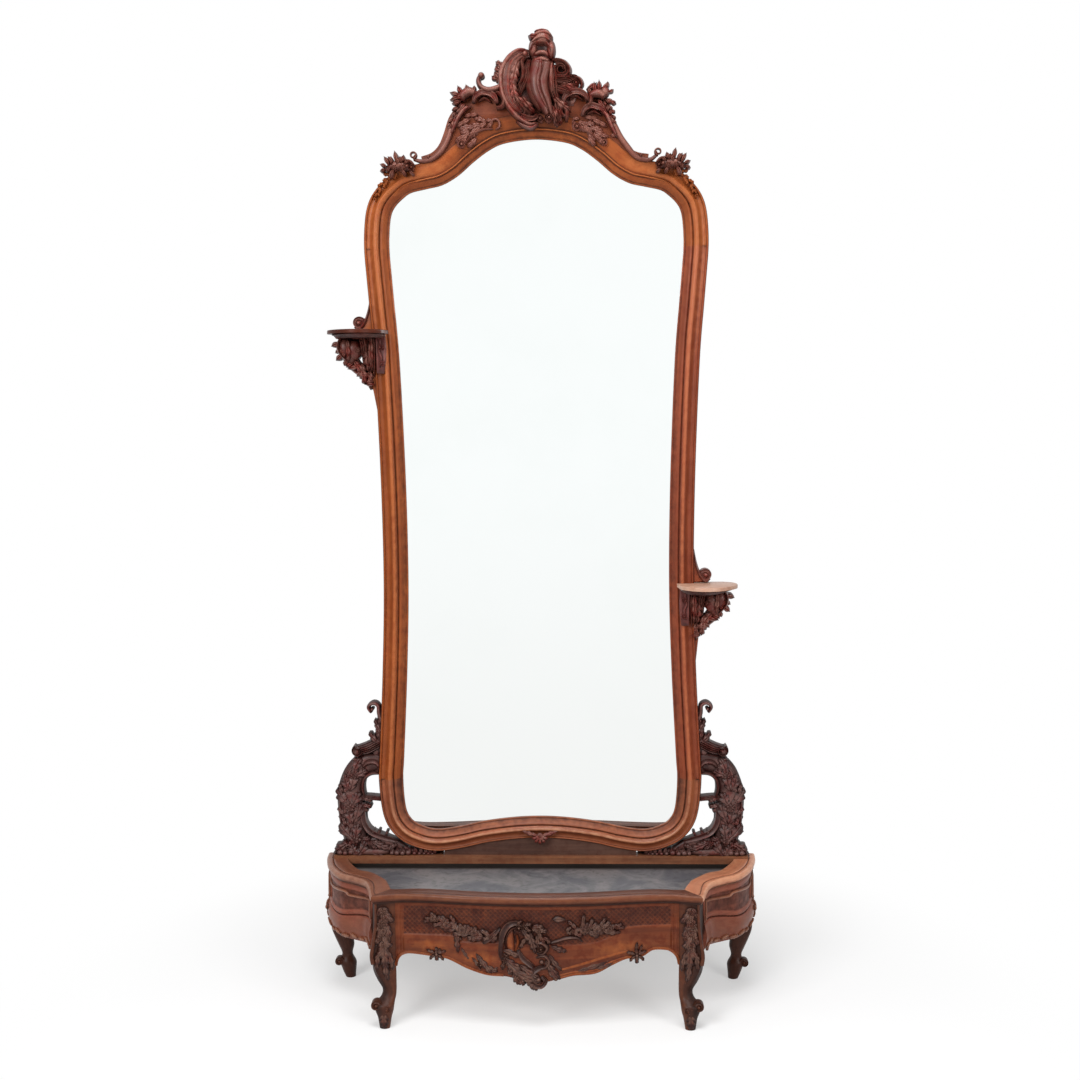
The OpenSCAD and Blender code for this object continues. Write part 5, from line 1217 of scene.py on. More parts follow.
# shares of the rim's thickness in from its edge and up, wear and light (painted highlights along its edges,
# painted shade in the groove on its top)
rimProfile = np.array([
    (0.37, 0, 0.2), (0.33, 0.1, 0.15), (0.29, 0.2, 0.1), (0.2, 0.26, 0.3), (0.11, 0.33, 0.5),
    (0.04, 0.42, 0.8), (0, 0.54, 0.95), (0, 0.68, 1), (0.02, 0.8, 1), (0.08, 0.9, 1), (0.17, 0.97, 1),
    (0.3, 1, 0.9), (0.5, 1, 0.7), (0.66, 0.99, 0.4), (0.72, 0.94, 0.02), (0.79, 0.93, 0.02),
    (0.86, 0.985, 0.5), (0.96, 1, 0.8), (1.1, 1, 0.6)])


def rimShell(outer, inner):
    # The rim's section carried along its outer edge, its last points on the inner edge.
    d = inner - outer
    length = np.linalg.norm(d, axis=1)
    d /= length[:, None]
    share = rimProfile[None, :, 0] * rimThickness * np.minimum(1, length / (1.5 * rimThickness))[:, None]
    flat = outer[:, None] + d[:, None] * share[..., None]
    z = np.broadcast_to(rimLow + rimProfile[:, 1] * rimThickness, flat.shape[:2])
    rings = np.concatenate([flat, z[..., None]], axis=2)
    ends = [np.column_stack([outer + d * (length - back)[:, None], np.full(len(outer), h)])[:, None]
            for back, h in ((2, rimTop), (0.5, rimTop - 0.6), (0, rimTop - 2.5), (0, rimLow))]
    wearAndLight = np.concatenate([rimProfile[:, 2], [0.8, 0.9, 0.5, 0.2]])
    return ringShell(np.concatenate([rings] + ends, axis=1), wearAndLight[None])


wholeOuter = np.vstack([frontLine[:0:-1] * [-1, 1], frontLine])
wholeInner = np.vstack([frontInner[:0:-1] * [-1, 1], frontInner])
pieceObject("stand_front_rim", [rimShell(wholeOuter, wholeInner)], wood["front rim walnut"], ("front_rim",))
sideRimShell = rimShell(sideLine, sideInner)
pieceObject("stand_right_rim", [sideRimShell], wood["right rim walnut with painted light"], ("right_rim",))
pieceObject("stand_left_rim", mirrored([sideRimShell]), wood["rim walnut"], ("left_rim",))

# aprons: height fields on the faces of the front and side boards
apronThick, postWidth, legHeight = 20, 48, size["legHeight"]
apronLine = frontLine + [0, rimOver]
sideApron = sideLine + leftNormals(sideLine) * rimOver * 0.7
sideApron[:, 1] = np.minimum(sideApron[:, 1], wallY)
cornerIn = np.array([cornerX - rimOver * 0.8, cornerY + rimOver])
postFront = np.array([cornerIn[0] - postWidth, 0.0])
postFront[1] = np.interp(postFront[0], apronLine[:, 0], apronLine[:, 1])
postSide = np.array([0.0, cornerIn[1] + postWidth])
postSide[0] = np.interp(postSide[1], sideApron[:, 1], sideApron[:, 0])
postIn = np.array([postFront[0] + 12, postSide[1] + 6])
backPost, backX = 48, halfBase - rimOver * 0.7
backLineY = wallY - backPost


def faceY(x):
    # Front face of the front apron in plan.
    return np.interp(np.abs(x), apronLine[:, 0], apronLine[:, 1])


# the apron's lower edge: how far it hangs below the tops of the legs
hangs = [(cornerX * a, b) for a, b in (
    (-0.76, -2), (-0.66, 2), (-0.54, 8), (-0.42, 30), (-0.3, 45), (-0.18, 48), (-0.07, 60), (0.02, 64),
    (0.13, 54), (0.22, 45), (0.35, 41), (0.45, 21), (0.54, 6), (0.63, 3), (0.7, -14), (0.78, -14))]
lowCurve = curveThrough([(-postFront[0], 34), (-365, 17), (-356, 5), (-342, -1)] + hangs
                        + [(348, -9), (359, 0), (366, 12), (postFront[0], 27)], 10)


def lowAt(x):
    # Height of the front apron's lower edge at x.
    return legHeight - np.interp(x, lowCurve[:, 0], lowCurve[:, 1])


def bump(d, w):
    # A smooth bump of half width w over the distance d.
    return np.exp(-(d / w) ** 2)


# upper edge of the smooth field
fieldTop = curveThrough([(-380, 240), (-300, 240), (-215, 240), (-196, 226), (-90, 226), (90, 222),
                         (150, 226), (200, 244), (240, 264), (380, 266)])


def frontRelief(x, z, low):
    # Proud and sunk parts of the front apron: a ground of crossed lines under the rim, a smooth
    # field that swells below it, and upright beads beside the legs.
    frieze = rimLow - 8
    field = np.interp(x, fieldTop[:, 0], fieldTop[:, 1])
    inside = easedStep((350 - np.abs(x)) / 5)
    ground = easedStep((frieze - z) / 3) * easedStep((z - field) / 4) * inside
    cell = 12.5
    one, two = (x + z) % cell - cell / 2, (x - z) % cell - cell / 2
    lines = np.maximum(bump(one, 1.7), bump(two, 1.7))
    out = 1.4 + ground * (-2.4 + 1.2 * lines)
    out = out + 1.0 * bump(z - field, 3) * inside
    for place, tall in ((353, 2.0), (362, 1.2)):
        out = out + tall * bump(np.abs(x) - place, 2.6)
    rise = np.clip((z - low) / np.maximum(field - low, 1), 0, 1)
    out = out + 4.5 * np.sin(np.pi * rise) ** 0.7 * inside
    # a little paler where it stands out, and the sunk ground of crossed lines darker, painted shade, its
    # raised lines less so
    wearAndLight = 0.56 + 0.02 * (out - 2) - ground * (0.32 - 0.14 * lines)
    # painted highlights where the swelling field catches the light
    for x0, wide, z0 in ((-275, 55, 212), (-150, 62, 186), (215, 100, 212)):
        wearAndLight = wearAndLight + 0.34 * bump(x - x0, wide) * bump(z - z0, 22)
    return out, np.clip(wearAndLight, 0, 1.1)


def frontApron():
    # A grid in x and height, from the lower edge up to the rim: y is the front line less the
    # relief, and the back is the same line set in by the board's thickness.
    m, n = 430, 96
    x = np.linspace(-postFront[0], postFront[0], m)[:, None]
    low = lowAt(x)
    z = low + (rimLow - low) * np.linspace(0, 1, n)[None, :]
    out, wearAndLight = frontRelief(x, z, low)
    out *= easedStep((rimLow - z) / 2.5) * easedStep((z - low) / 2.5)
    y = faceY(x) - out
    front = np.stack([np.broadcast_to(x, z.shape), y, z], axis=-1)
    behind = np.stack([np.stack([x[:, 0], faceY(x[:, 0]) + apronThick, h], axis=-1)
                       for h in (np.full(m, float(rimLow)), low[:, 0])], axis=1)
    rings = np.concatenate([front, behind], axis=1)
    relief = np.concatenate([wearAndLight, np.full((m, 2), 0.3)], axis=1)
    grain = np.stack(np.broadcast_arrays(rings[..., 0], rings[..., 2]), axis=-1)
    return ringShell(rings, relief, grain)


sideFrom = np.array([[postSide[0], postSide[1]]])
inside = (sideApron[:, 1] > postSide[1] + 0.5) & (sideApron[:, 1] < backLineY - 0.5)
sideEnd = np.array([[np.interp(backLineY, sideApron[:, 1], sideApron[:, 0]), backLineY]])
sidePath = evenly(np.vstack([sideFrom, sideApron[inside], sideEnd]), 150)
sideLengths = lengthsAlong(sidePath)
sideOut = -leftNormals(sidePath)


def sideFrame(s):
    # Place and outward direction on the side apron at the length s along it.
    x, y = (np.interp(s, sideLengths, sidePath[:, k]) for k in (0, 1))
    a, b = (np.interp(s, sideLengths, sideOut[:, k]) for k in (0, 1))
    return x, y, a, b


sideTotal = sideLengths[-1]
lipZ = 250


def sideLip(s):
    # Height of the serpentine line between the panel and the swelling lip below it.
    return lipZ + 9 * np.sin(np.pi * s / sideTotal * 2 + 0.6) - 10 * (s / sideTotal)


def sideLow(s):
    # Height of the side apron's lower edge: half a sine wave down.
    return legHeight - 12 * np.sin(np.pi * s / sideTotal)


def sideRelief(s, z):
    # A sunk panel with a raised edge above the lip, and the lip that swells out below.
    lip = sideLip(s)
    low = sideLow(s)
    panel = easedStep((z - lip - 8) / 5) * easedStep((rimLow - 12 - z) / 6)
    panel = panel * easedStep((s - 22) / 6) * easedStep((sideTotal - 30 - s) / 6)
    out = 2.0 - 4.0 * panel
    below = np.clip((lip - 4 - z) / np.maximum(lip - 4 - low, 1), 0, 1)
    out = out + 8.5 * np.sin(np.pi * below ** 0.8) ** 0.8 * (z < lip)
    out = out - 3.5 * bump(z - lip + 3, 2.0) + 1.6 * bump(z - lip - 4, 2.6)
    # paler where it stands out and darkened in the groove at the lip: painted highlight and painted shade
    return out, np.clip(0.5 + 0.13 * out, 0, 1) * (1 - 0.9 * bump(z - lip + 3, 2.4))


def sideBoard():
    # A grid in length along the side and height: each point is the side's line pushed out by the
    # relief, and the back is the line set in by the board's thickness.
    n = 74
    s = sideLengths[:, None]
    low = sideLow(s)
    z = low + (rimLow - low) * np.linspace(0, 1, n)[None, :]
    out, wearAndLight = sideRelief(s, z)
    out = out * easedStep((rimLow - z) / 2.5)
    x, y, a, b = sideFrame(s)
    front = np.stack([x + a * out, y + b * out, z], axis=-1)
    back = np.stack([np.stack([x[:, 0] - a[:, 0] * apronThick, y[:, 0] - b[:, 0] * apronThick, h], axis=-1)
                     for h in (np.full(len(s), float(rimLow)), low[:, 0])], axis=1)
    rings = np.concatenate([front, back], axis=1)
    rings[..., 1] = np.minimum(rings[..., 1], wallY)
    relief = np.concatenate([wearAndLight, np.full((len(s), 2), 0.3)], axis=1)
    grain = np.stack(np.broadcast_arrays(s, rings[..., 2]), axis=-1)
    return ringShell(rings, relief, grain)


pieceObject("stand_front_apron", [frontApron()], wood["apron walnut"], ("apron_front",))
bothSides("stand_{}_apron", [sideBoard()], wood["side apron walnut"], "apron_{}", sharp=38)


def onFace(shells):
    # Laid on the front apron: y grows by the front line's y at the same x.
    return moved(shells, lambda p: np.stack([p[:, 0], faceY(p[:, 0]) + p[:, 1], p[:, 2]], axis=1))


def onSide(shells):
    # Drawn in length along the side and height, laid on the side apron's own face.
    def lay(p):
        x, y, a, b = sideFrame(p[:, 0])
        out = sideRelief(p[:, 0], p[:, 2])[0] - p[:, 1]
        return np.stack([x + a * out, y + b * out, p[:, 2]], axis=1)
    return moved(shells, lay)


def apronCartouche():
    # An open C with a rolled edge, leaves over its top, curls stacked at its right and a big curl
    # that closes it below.
    shells = [
        scroll((-32, 275, -53, 285, -74, 277, -87, 256, -92, 226, -93, 200, -85, 176),
            (8, 14, 18, 16, 12, 11, 7), (10, 14, 15, 13, 11, 9), "hollow", 1, 0.03),
        scroll((-35, 264, -56, 272, -74, 256, -79, 227, -77, 203), (4, 7, 8, 7, 5), (8, 12, 10, 8), "ridge",
            1, 0.05),
        *foliage((-87, 203, -77, 173, -57, 152, -28, 133, 8, 118), (26, 40, 50, 50, 30), 12, 7, 1, 3, 0.4,
            3),
        *leaves(2, (-85, 195, -52, 92, 30, 24, 5, 13), (-64, 160, -28, 84, 28, 10, 4, 14),
            (-44, 176, -44, 66, 24, 18, 3, 14)),
        *coil(-45, 272, 11, 60, -1.2, 7, 13, 1),
        *foliage((-50, 282, -19, 277, 9, 261, 27, 232), (24, 40, 42, 26), 11, 5, 1, 2, 0.4, 2),
        *leaves(1, (-38, 272, -62, 54, 22, 20, 3, 12), (-17, 261, -80, 60, 24, 10, 4, 12),
            (4, 256, -100, 40, 18, 20, 3, 12), (-87, 213, -14, 48, 22, -24, 2, 12),
            (-85, 187, -20, 52, 22, -20, 2, 12), (-72, 163, -16, 50, 18, -10, 2, 12)),
        scroll((-48, 213, -36, 192, -18, 176, 0, 160), (8, 15, 16, 10), (9, 12, 12, 9), "hollow", 1),
        scroll((-7, 227, 11, 232, 27, 219, 16, 203, 1, 203), (8, 12, 13, 11, 7), (10, 13, 13, 10), "ridge",
            1),
        *coil(11, 216, 9, 60, 1.2, 6, 12, 1),
        scroll((-2, 192, 19, 198, 32, 182, 21, 166, 3, 166), (8, 12, 13, 11, 7), (10, 13, 13, 10), "ridge",
            1),
        dome(13, 182, 7, 11, 1),
        scroll((21, 171, 0, 163, -18, 147, -10, 125, 10, 118, 23, 131, 13, 144), (9, 15, 18, 17, 14, 12, 8),
            (10, 14, 15, 15, 12), "hollow", 2, 0.05),
        dome(5, 136, 7, 13, 2),
        *leaves(1, (21, 187, -58, 66, 22, 12, 4, 11), (32, 203, -66, 58, 18, 26, 3, 10),
            (29, 160, -50, 40, 16, 20, 2, 11)),
        dome(49, 136, 6, 10, 1), leaf(37, 224, -30, 44, 18, 20, 3, 10, 1),
        leaf(-27, 245, -128, 34, 15, 20, 2, 10, 1)]
    return onFace(shells)


def cartoucheEgg():
    # The smooth pointed swelling inside the cartouche, with a rib down its side.
    return onFace([scroll((-66, 264, -69, 243, -67, 221, -61, 203), (12, 22, 22, 12), (6, 9, 9, 6), "round",
        1), scroll((-51, 253, -48, 232, -56, 208), (5, 8, 5), (9, 12, 9), "ridge", 1)])


def garland(side):
    # Flowers and leaves strung on a thin branch, thicker towards the middle.
    if side < 0:
        branch = [(-102, 250), (-131, 245), (-162, 250), (-193, 255), (-224, 269), (-255, 282), (-296, 284)]
        shells = foliage(branch, (34, 46, 50, 50, 44, 34, 18), 8, 11, 1, 2, 0.3, 2)
        shells += [
            scroll((-95, 269, -110, 253, -126, 237, -139, 226), (7, 13, 14, 7), (7, 10, 10, 7), "hollow", 1),
            *leaves(2, (-139, 245, 200, 34, 15, -30, 2, 9), (-152, 250, 238, 26, 12, -20, 2, 9),
                (-211, 277, 118, 26, 13, 20, 2, 8))]
        for spot, r, a in (
            ((-234, 271), 19, 20), ((-193, 261), 18, 50), ((-162, 255), 17, 10), ((-270, 287), 13, 0)):
            shells += flower(*spot, r, 6, 9, a, 2.5)
    else:
        branch = [(76, 262), (104, 262), (133, 264), (158, 265), (187, 265), (225, 270)]
        shells = foliage(branch, (30, 42, 48, 46, 34, 20), 8, 8, 1, 2, 1.1, 2)
        shells += [
            scroll((27, 227, 50, 235, 78, 243, 104, 243, 117, 233), (5, 9, 10, 9, 5), (5, 8, 8, 6), "ridge",
                1),
            leaf(76, 293, 176, 36, 18, 10, 1, 8, 1),
            *leaves(2, (120, 267, 92, 40, 15, -16, 2, 10), (133, 264, 60, 34, 14, 20, 2, 9),
                (104, 267, 128, 34, 14, 20, 2, 9), (164, 270, 70, 30, 13, -30, 2, 9)),
            leaf(174, 257, -14, 44, 14, 24, 3, 8, 1)]
        for spot, r, a in (((156, 262), 18, 20), ((120, 264), 15, 50), ((189, 265), 13, 10)):
            shells += flower(*spot, r, 6, 9, a, 2.5)
    return onFace(shells)


def edgeMoulding():
    # A swept lip along the lower edge of the front apron, on both sides of the cartouche; at the
    # right a second band rises above it and a leaf lies along its foot.
    shells = []
    u = np.linspace(-1, 1, 13)[None, :]
    for x0, x1 in ((-postFront[0], -86), (56, postFront[0])):
        x = np.linspace(x0, x1, 130)
        wide = 4.0 + 3.0 * easedStep((240 - x) / 60) * (x0 > 0)
        path = np.stack([x, lowAt(x) + wide], axis=1)
        cross = 4.5 * (0.35 + 0.65 * np.sqrt(np.clip(1 - u ** 4, 0, 1)) - 0.3 * bump(u - 0.1, 0.16))
        shells.append(ribbon(path, np.stack([wide, wide]), np.broadcast_to(cross, (130, 13)), 1.0))
    x = np.linspace(64, 236, 60)
    path = np.stack([x, np.interp(x, (64, 110, 160, 200, 236), (160, 172, 186, 196, 203))], axis=1)
    wide = 2 + 5 * np.sin(np.pi * np.linspace(0.04, 0.96, 60)) ** 0.6
    cross = 5.5 * np.sqrt(np.clip(1 - 0.8 * u ** 2, 0, 1))
    shells.append(ribbon(path, np.stack([wide, wide]), np.broadcast_to(cross, (60, 13)), 1.0))
    return onFace(shells)


def apronDrops():
    # Two drops: leaves round a button, one long one up and one down.
    shells = []
    for x, up, down in ((-261, 20, 17), (259, 36, 22)):
        z = float(lowAt(x)) + 8
        shells += [
            *leaves(4, (x, z, 270, down, 13, 0, 2, 8), (x - 3, z, 215, 22, 10, 20, 2, 8),
                (x + 3, z, 325, 22, 10, -20, 2, 8), (x - 3, z + 2, 150, 26, 10, 20, 2, 8),
                (x + 3, z + 2, 32, 24, 10, -20, 2, 8), (x, z, 96, up, 11, -14, 2, 8),
                (x + 4, z + 2, 66, up * 0.8, 9, 10, 2, 8)),
            dome(x, z + 1, 5, 10, 5)]
    return onFace(shells)


def lowerLeftCarving():
    # The leaf that hangs over the lower edge left of the cartouche, the knob that parts the two
    # fields, and the leaf along the edge at the right.
    shells = [
        leaf(-157, 200, -58, 62, 20, 16, 3, 9, 2), leaf(-142, 184, -64, 44, 18, 20, 2, 10, 2),
        leaf(-129, 170, -40, 34, 14, 20, 2, 9, 1), leaf(-168, 189, -48, 40, 14, -10, 3, 8, 1),
        *coil(-145, 170, 9, 40, 1.2, 5, 10, 2), leaf(-122, 149, 30, 30, 10, 20, 2, 7, 0.5),
        leaf(-206, 245, -94, 46, 18, 14, 3, 8, 2), leaf(-196, 213, -60, 40, 12, 10, 3, 7, 1),
        *flower(-206, 237, 12, 5, 7, 0, 2), leaf(106, 155, 14, 84, 18, 6, 3, 6, 1),
        leaf(153, 161, 8, 46, 14, 16, 2, 7, 1)]
    return onFace(shells)


carvedPiece("apron_cartouche_carving", apronCartouche() + lowerLeftCarving(), wood["garland walnut"],
        "apron_cartouche")
carvedPiece("apron_cartouche_egg", cartoucheEgg(), wood["apron walnut"])
carvedPiece("apron_left_garland_carving", garland(-1), wood["garland walnut"], "apron_left_garland")
carvedPiece("apron_right_garland_carving", garland(1), wood["garland walnut"], "apron_right_garland")
carvedPiece("apron_edge_lip", edgeMoulding(), wood["apron walnut"], "apron_edge_moulding")
carvedPiece("apron_leaf_drop_carvings", apronDrops(), wood["garland walnut"], "apron_leaf_drops")


def panelMoulding():
    # Raised edge round the side panel, its top in two leafy arcs, and the carved edge of the lip.
    a, b = 20, sideTotal - 28
    top = rimLow - 10
    middle = (a + b) / 2
    shells = [
        scroll((a, 262, a - 1, 290, a, top), (8, 8), (4, 5, 4), "round", 1),
        scroll((b, 250, b + 1, 285, b, top), (8, 8), (4, 5, 4), "round", 1),
        scroll((b + 14, 200, b + 15, 260, b + 14, top + 4), (7, 7), (4, 5, 4), "round", 1),
        scroll((a, top, a + 20, top - 12, middle - 20, top - 22, middle + 10, top - 14, b - 24, top - 24, b,
            top), (6, 8, 8, 8, 6), (4, 5, 5, 4), "ridge", 1)]
    for k in range(10):
        s = 14 + (sideTotal - 40) * k / 9
        shells.append(leaf(s, float(sideLow(s)) + 9, 8 if k % 2 else -8, 28, 14, 10, 3, 5, 1))
    shells += [leaf(a + 6, 196, 300, 24, 12, 0, 2, 6, 2), dome(b - 4, 222, 7, 6, 2)]
    return onSide(shells)


bothSides("{}_panel_edge", panelMoulding(), wood["rim walnut"], "{}_panel_moulding")
print("aprons carved")

# legs: rings that turn from a four-sided post into a round, on one smooth loft
around, legSteps = 48, 7


def postRing(corners):
    # A four-sided ring with its points spread evenly along each side.
    p = np.array(corners, float)
    t = (np.arange(around // 4) / (around // 4))[:, None]
    return np.vstack([p[s] + (p[(s + 1) % 4] - p[s]) * t for s in range(4)])


def discRing(centre, rx, ry, start):
    # An ellipse round a centre, its first point at the angle start.
    a = np.radians(start) + 2 * np.pi * np.arange(around) / around
    return np.stack([centre[0] + rx * np.cos(a), centre[1] + ry * np.sin(a)], axis=1)


def loftLeg(rings, heights):
    # Smooth curves through the matching points of all rings and through their heights.
    flat = curveThrough(np.array(rings).reshape(len(rings), -1), legSteps)
    z = curveThrough(np.array(heights, float)[:, None], legSteps)[:, 0]
    z = np.clip(np.minimum.accumulate(z), 0, rimLow)
    flat = flat.reshape(len(z), around, 2)
    return np.concatenate([flat, np.broadcast_to(z[:, None, None], (len(z), around, 1))], axis=2)


kneeOut = np.array([0.62, -0.78]) / math.hypot(0.62, 0.78)
ankle, toe, swell = 18.5, 26, postWidth * 0.35
# height in leg heights, place from the corner in post widths, radius, roundness
frontShape = [(0.8, -0.4, 0.21, ankle * 1.73, 0.5), (0.66, -0.52, 0.17, ankle * 1.35, 0.9),
              (0.53, -0.65, 0.17, ankle, 1), (0.44, -0.62, 0.1, ankle * 1.03, 1),
              (0.38, -0.5, -0.04, ankle * 1.22, 1), (0.33, -0.4, -0.17, toe, 1),
              (0.25, -0.4, -0.21, toe * 0.92, 1), (0.16, -0.42, -0.23, ankle, 1),
              (0.07, -0.42, -0.23, ankle * 0.84, 1), (0, -0.42, -0.23, ankle * 0.73, 1)]


def frontLegRings():
    # The post swells at the knee, then blends by roundness into ellipses that wander in and out.
    rings, heights = [], []
    for out, up in ((0, 1), (0.1, 0.57), (0.7, 0.23), (1, 0)):
        rings.append(postRing([postFront, cornerIn + kneeOut * swell * out, postSide, postIn]))
        heights.append(legHeight + (rimLow - legHeight) * up)
    full = rings[-1]
    for share, dx, dy, r, roundness in frontShape:
        disc = discRing(cornerIn + postWidth * np.array([dx, dy]), r, r * 0.85, 195)
        rings.append(full * (1 - roundness) + disc * roundness)
        heights.append(legHeight * share)
    return loftLeg(rings, heights)


def tube(path, radius):
    # A round bead along a path in space.
    t = np.gradient(path, axis=0)
    t /= np.linalg.norm(t, axis=1)[:, None]
    side = np.cross(t, [0.3, 0.2, 0.93])
    side /= np.linalg.norm(side, axis=1)[:, None]
    other = np.cross(t, side)
    a = np.linspace(0, 2 * np.pi, 14, endpoint=False)
    r = radius[:, None, None]
    rings = path[:, None] + r * (side[:, None] * np.cos(a)[:, None] + other[:, None] * np.sin(a)[:, None])
    return ringShell(rings, 0.9)


legRings = frontLegRings()


def legFace(z):
    # Front face of the front leg at height z, read from its own rings.
    order = np.argsort(legRings[:, 0, 2])
    return np.interp(z, legRings[order, 0, 2], legRings[order, :, 1].min(1))


def frontLegShells():
    # The leg with a bead down its front corner and two coils at its foot, and the leaves and
    # flowers of its knee.
    across = legRings[..., 0] - legRings[..., 0].min(1)[:, None]
    across = across / across.max(1)[:, None]
    shells = [ringShell(legRings, 0.98 - 0.7 * easedStep(across * 1.6 - 0.2))]
    cornerPath = legRings[legRings[:, 0, 2] > legHeight * 0.9][:, around // 4]
    out = np.append(kneeOut * 1.5, 0)
    shells.append(tube(cornerPath + out, np.linspace(3.5, 5.5, len(cornerPath))))
    x = 396
    parts = foliage((x + 3, 318, x, 286, x + 5, 252, x + 1, 222, x + 4, 190), (46, 52, 54, 50, 40), 8, 9, 0,
        2, 0.8, 2)
    parts += [
        *flower(x + 12, 304, 12, 5, 9, 20, 1), *flower(x + 10, 268, 11, 5, 9, 40, 1),
        *flower(x - 10, 238, 10, 5, 8, 10, 1), *flower(x + 12, 236, 10, 5, 9, 0, 1),
        *flower(x - 3, 288, 13, 5, 8, 0, 1), *flower(x + 2, 254, 15, 6, 9, 30, 1),
        *leaves(0, (x, 222, 268, 66, 30, -6, 4, 9), (x - 10, 206, 250, 54, 18, 14, 3, 8),
            (x + 10, 206, 290, 54, 18, -20, 3, 8), (x - 1, 182, 266, 60, 20, -6, 3, 7))]
    knee = moved(parts, lambda p: np.stack([p[:, 0], legFace(p[:, 2]) + 5 + p[:, 1], p[:, 2]], axis=1))
    toeY = cornerIn[1] - 0.17 * postWidth
    toeX = cornerIn[0] - 0.4 * postWidth
    scrolls = coil(toeX + 20, 62, 13, 200, -1.3, 10, 8, 16) + coil(toeX - 8, 52, 9, 340, 1.2, 7, 7, 20)
    shells += placed(scrolls, 0, toeY + 4, 0)
    knee += placed([leaf(toeX, 54, 268, 50, 26, 4, 4, 7, 14)], 0, toeY, 0)
    return shells, knee


# height in leg heights, how far out and half width in post widths, roundness
backShape = [(0.78, 0.6, 0.62, 0.55), (0.63, 0.73, 0.54, 0.9), (0.5, 0.85, 0.46, 1), (0.36, 0.9, 0.31, 1),
             (0.24, 0.92, 0.5, 1), (0.16, 0.98, 0.44, 1), (0.08, 1.02, 0.37, 1), (0, 1.08, 0.29, 1)]


def backLegShells():
    # A square post that blends by roundness into a round, bowed leg, with leaves and a coil.
    low, high = backX - backPost, backX
    square = postRing([(low, backLineY), (high, backLineY), (high, wallY), (low, wallY)])
    rings, heights = [square, square], [rimLow, legHeight]
    for share, out, half, roundness in backShape:
        rx = half * backPost
        ry = min(rx, backPost / 2 - 1)
        disc = discRing((backX - out * backPost, wallY - backPost / 2), rx, ry, 225)
        rings.append(square * (1 - roundness) + disc * roundness)
        heights.append(legHeight * share)
    legRing = loftLeg(rings, heights)
    legRing[..., 1] = np.minimum(legRing[..., 1], wallY)
    shells = [ringShell(legRing, 0.7)]
    strip = [
        *leaves(0, (0, 320, 270, 60, 18, 10, 4, 6), (0, 285, 268, 60, 20, -10, 4, 6),
            (0, 250, 270, 60, 20, 10, 4, 6), (2, 215, 272, 50, 18, -6, 3, 6)),
        dome(0, 318, 5, 7), dome(0, 282, 5, 7), dome(0, 246, 5, 7)]
    strip = moved(strip, lambda p: np.stack([high - 3 - p[:, 1], backLineY + 20 + p[:, 0], p[:, 2]], axis=1))
    curls = placed(coil(backX - 0.92 * backPost + 22, 47, 12, 200, -1.3, 9, 6, 14), 0, wallY - 24, 0)
    return shells + strip + curls


legShells, kneeShells = frontLegShells()
bothSides("stand_front_{}_leg", legShells, wood["leg walnut"], "front_{}_leg")
bothSides("front_{}_knee_carving", kneeShells, wood["garland walnut"])
bothSides("stand_back_{}_leg", backLegShells(), wood["leg walnut"], "back_{}_leg")
print("legs made")

# floor, camera, lamps
floorLook = {"half": 40.0, "tone": 0.9, "near": 0.4, "fade": (0.55, 1.5)}


def seenDirectly(tree):
    # 1 where the camera or a polished surface looks, 0 for the light that falls on things.
    rays = tree.nodes.new("ShaderNodeLightPath")
    return maths("MAXIMUM", rays.outputs["Is Camera Ray"], rays.outputs["Is Glossy Ray"])


def makeFloor():
    # A plain pale floor: lit where the camera sees it, and white far from the object.
    h = floorLook["half"]
    mesh = bpy.data.meshes.new("floor")
    mesh.from_pydata([(-h, -h, 0), (h, -h, 0), (h, h, 0), (-h, h, 0)], [], [(0, 1, 2, 3)])
    floor = bpy.data.objects.new("floor", mesh)
    bpy.context.scene.collection.objects.link(floor)
    material, tree, shader = newMaterial("pale floor")
    shader.inputs["Base Color"].default_value = (floorLook["tone"],) * 3 + (1,)
    shader.inputs["Roughness"].default_value = 0.9
    shader.inputs["Specular IOR Level"].default_value = 0.1
    place = tree.nodes.new("ShaderNodeTexCoord").outputs["Object"]
    away = addNode(tree, "ShaderNodeVectorMath", operation="LENGTH")
    join(scaled(place, 1, 1, 0), away.inputs[0])
    far = stretch(away.outputs["Value"], *floorLook["fade"], floorLook["near"], 1.0)
    white = addNode(tree, "ShaderNodeEmission", Color=(1, 1, 1, 1), Strength=1.0)
    mix = tree.nodes.new("ShaderNodeMixShader")
    join(maths("MULTIPLY", far, seenDirectly(tree)), mix.inputs[0])
    join(shader.outputs[0], mix.inputs[1])
    join(white.outputs[0], mix.inputs[2])
    join(mix.outputs[0], tree.nodes["Material Output"].inputs[0])
    mesh.materials.append(material)


makeFloor()
cameraLook = {"place": (0.133, -4.0, 1.624), "turn": -1.753, "tilt": 5.25, "roll": 0.00716, "lens": 50.77}


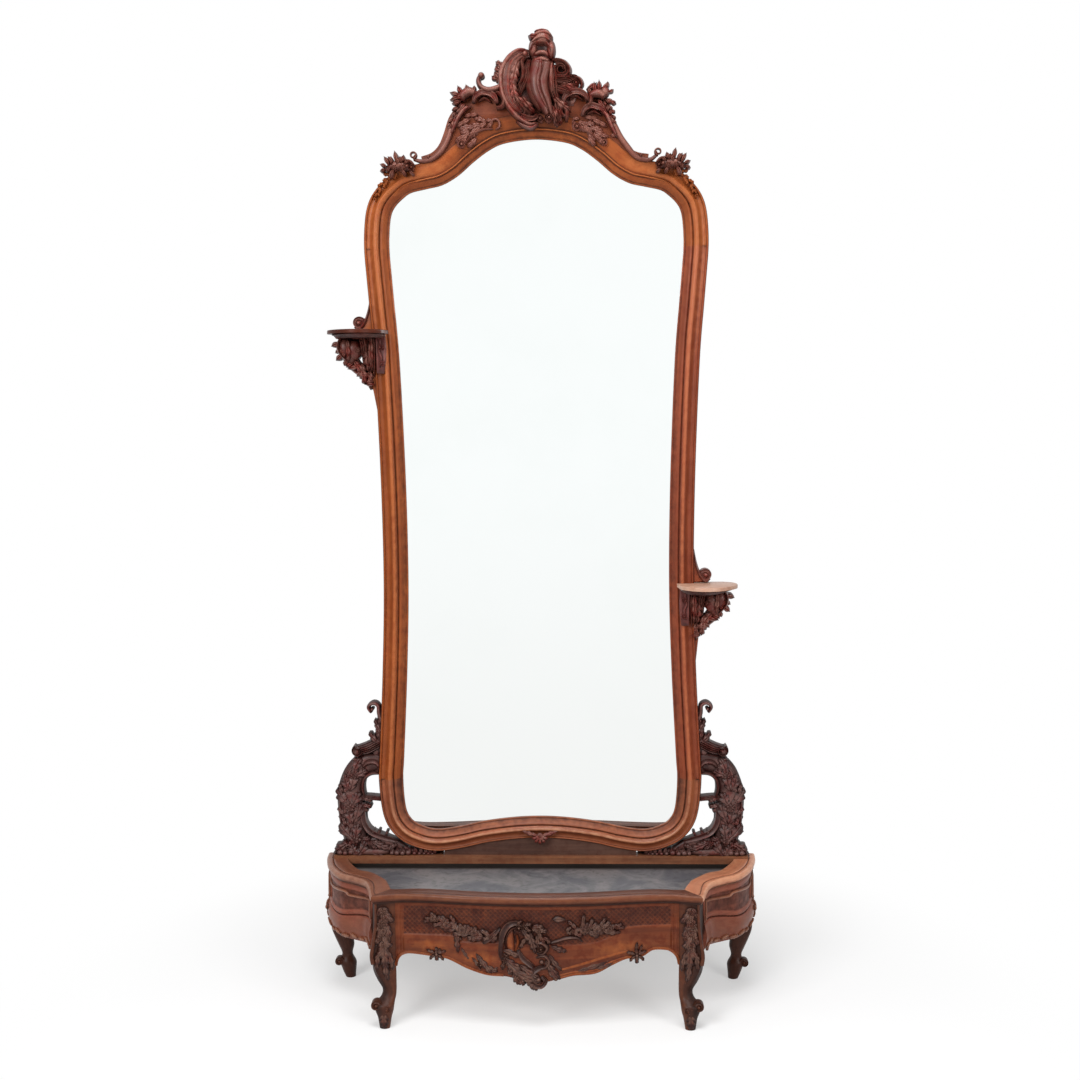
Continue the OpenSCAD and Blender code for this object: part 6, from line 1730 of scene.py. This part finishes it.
def makeCamera():
    # Turned from straight ahead and tilted down by degrees, and rolled by a tangent.
    a, p, roll = math.radians(cameraLook["turn"]), math.radians(cameraLook["tilt"]), cameraLook["roll"]
    forward = Vector((math.sin(a) * math.cos(p), math.cos(a) * math.cos(p), -math.sin(p)))
    right = Vector((math.cos(a), -math.sin(a), 0))
    up = Vector((math.sin(a) * math.sin(p), math.cos(a) * math.sin(p), math.cos(p)))
    right, up = (right - roll * up).normalized(), (up + roll * right).normalized()
    data = bpy.data.cameras.new("camera")
    data.lens = cameraLook["lens"]
    data.sensor_width = 36
    camera = bpy.data.objects.new("camera", data)
    camera.matrix_world = Matrix.Translation(cameraLook["place"]) @ Matrix(
        (right, up, -forward)).transposed().to_4x4()
    bpy.context.scene.collection.objects.link(camera)
    bpy.context.scene.camera = camera


makeCamera()
lampLook = {"main": {"place": (-2.7, -3.9, 3.3), "aim": (0, 0, 1.2), "wide": 2.0, "power": 170},
            "side": {"place": (3.1, -3.5, 2.6), "aim": (0, 0, 1.1), "wide": 1.8, "power": 90},
            "top": {"place": (0.0, -1.9, 4.9), "aim": (0, 0, 0.9), "wide": 2.0, "power": 120}}
for name, lamp in lampLook.items():
    data = bpy.data.lights.new(name + " lamp", "AREA")
    data.size = lamp["wide"]
    data.energy = lamp["power"]
    light = bpy.data.objects.new(name + " lamp", data)
    aim = Vector(lamp["aim"]) - Vector(lamp["place"])
    light.location = lamp["place"]
    light.rotation_euler = aim.to_track_quat("-Z", "Y").to_euler()
    bpy.context.scene.collection.objects.link(light)


def makeWorld():
    # Soft grey light from all round; the camera and polished surfaces see plain white.
    world = bpy.data.worlds.new("studio")
    bpy.context.scene.world = world
    world.use_nodes = True
    tree = world.node_tree
    soft = tree.nodes["Background"]
    soft.inputs["Color"].default_value = (1, 1, 1, 1)
    soft.inputs["Strength"].default_value = 0.3
    seenWhite = addNode(tree, "ShaderNodeBackground", Color=(1, 1, 1, 1), Strength=1.0)
    mix = tree.nodes.new("ShaderNodeMixShader")
    join(seenDirectly(tree), mix.inputs[0])
    join(soft.outputs[0], mix.inputs[1])
    join(seenWhite.outputs[0], mix.inputs[2])
    join(mix.outputs[0], tree.nodes["World Output"].inputs[0])


makeWorld()
bpy.context.scene.view_settings.view_transform = "Standard"
print("scene ready")
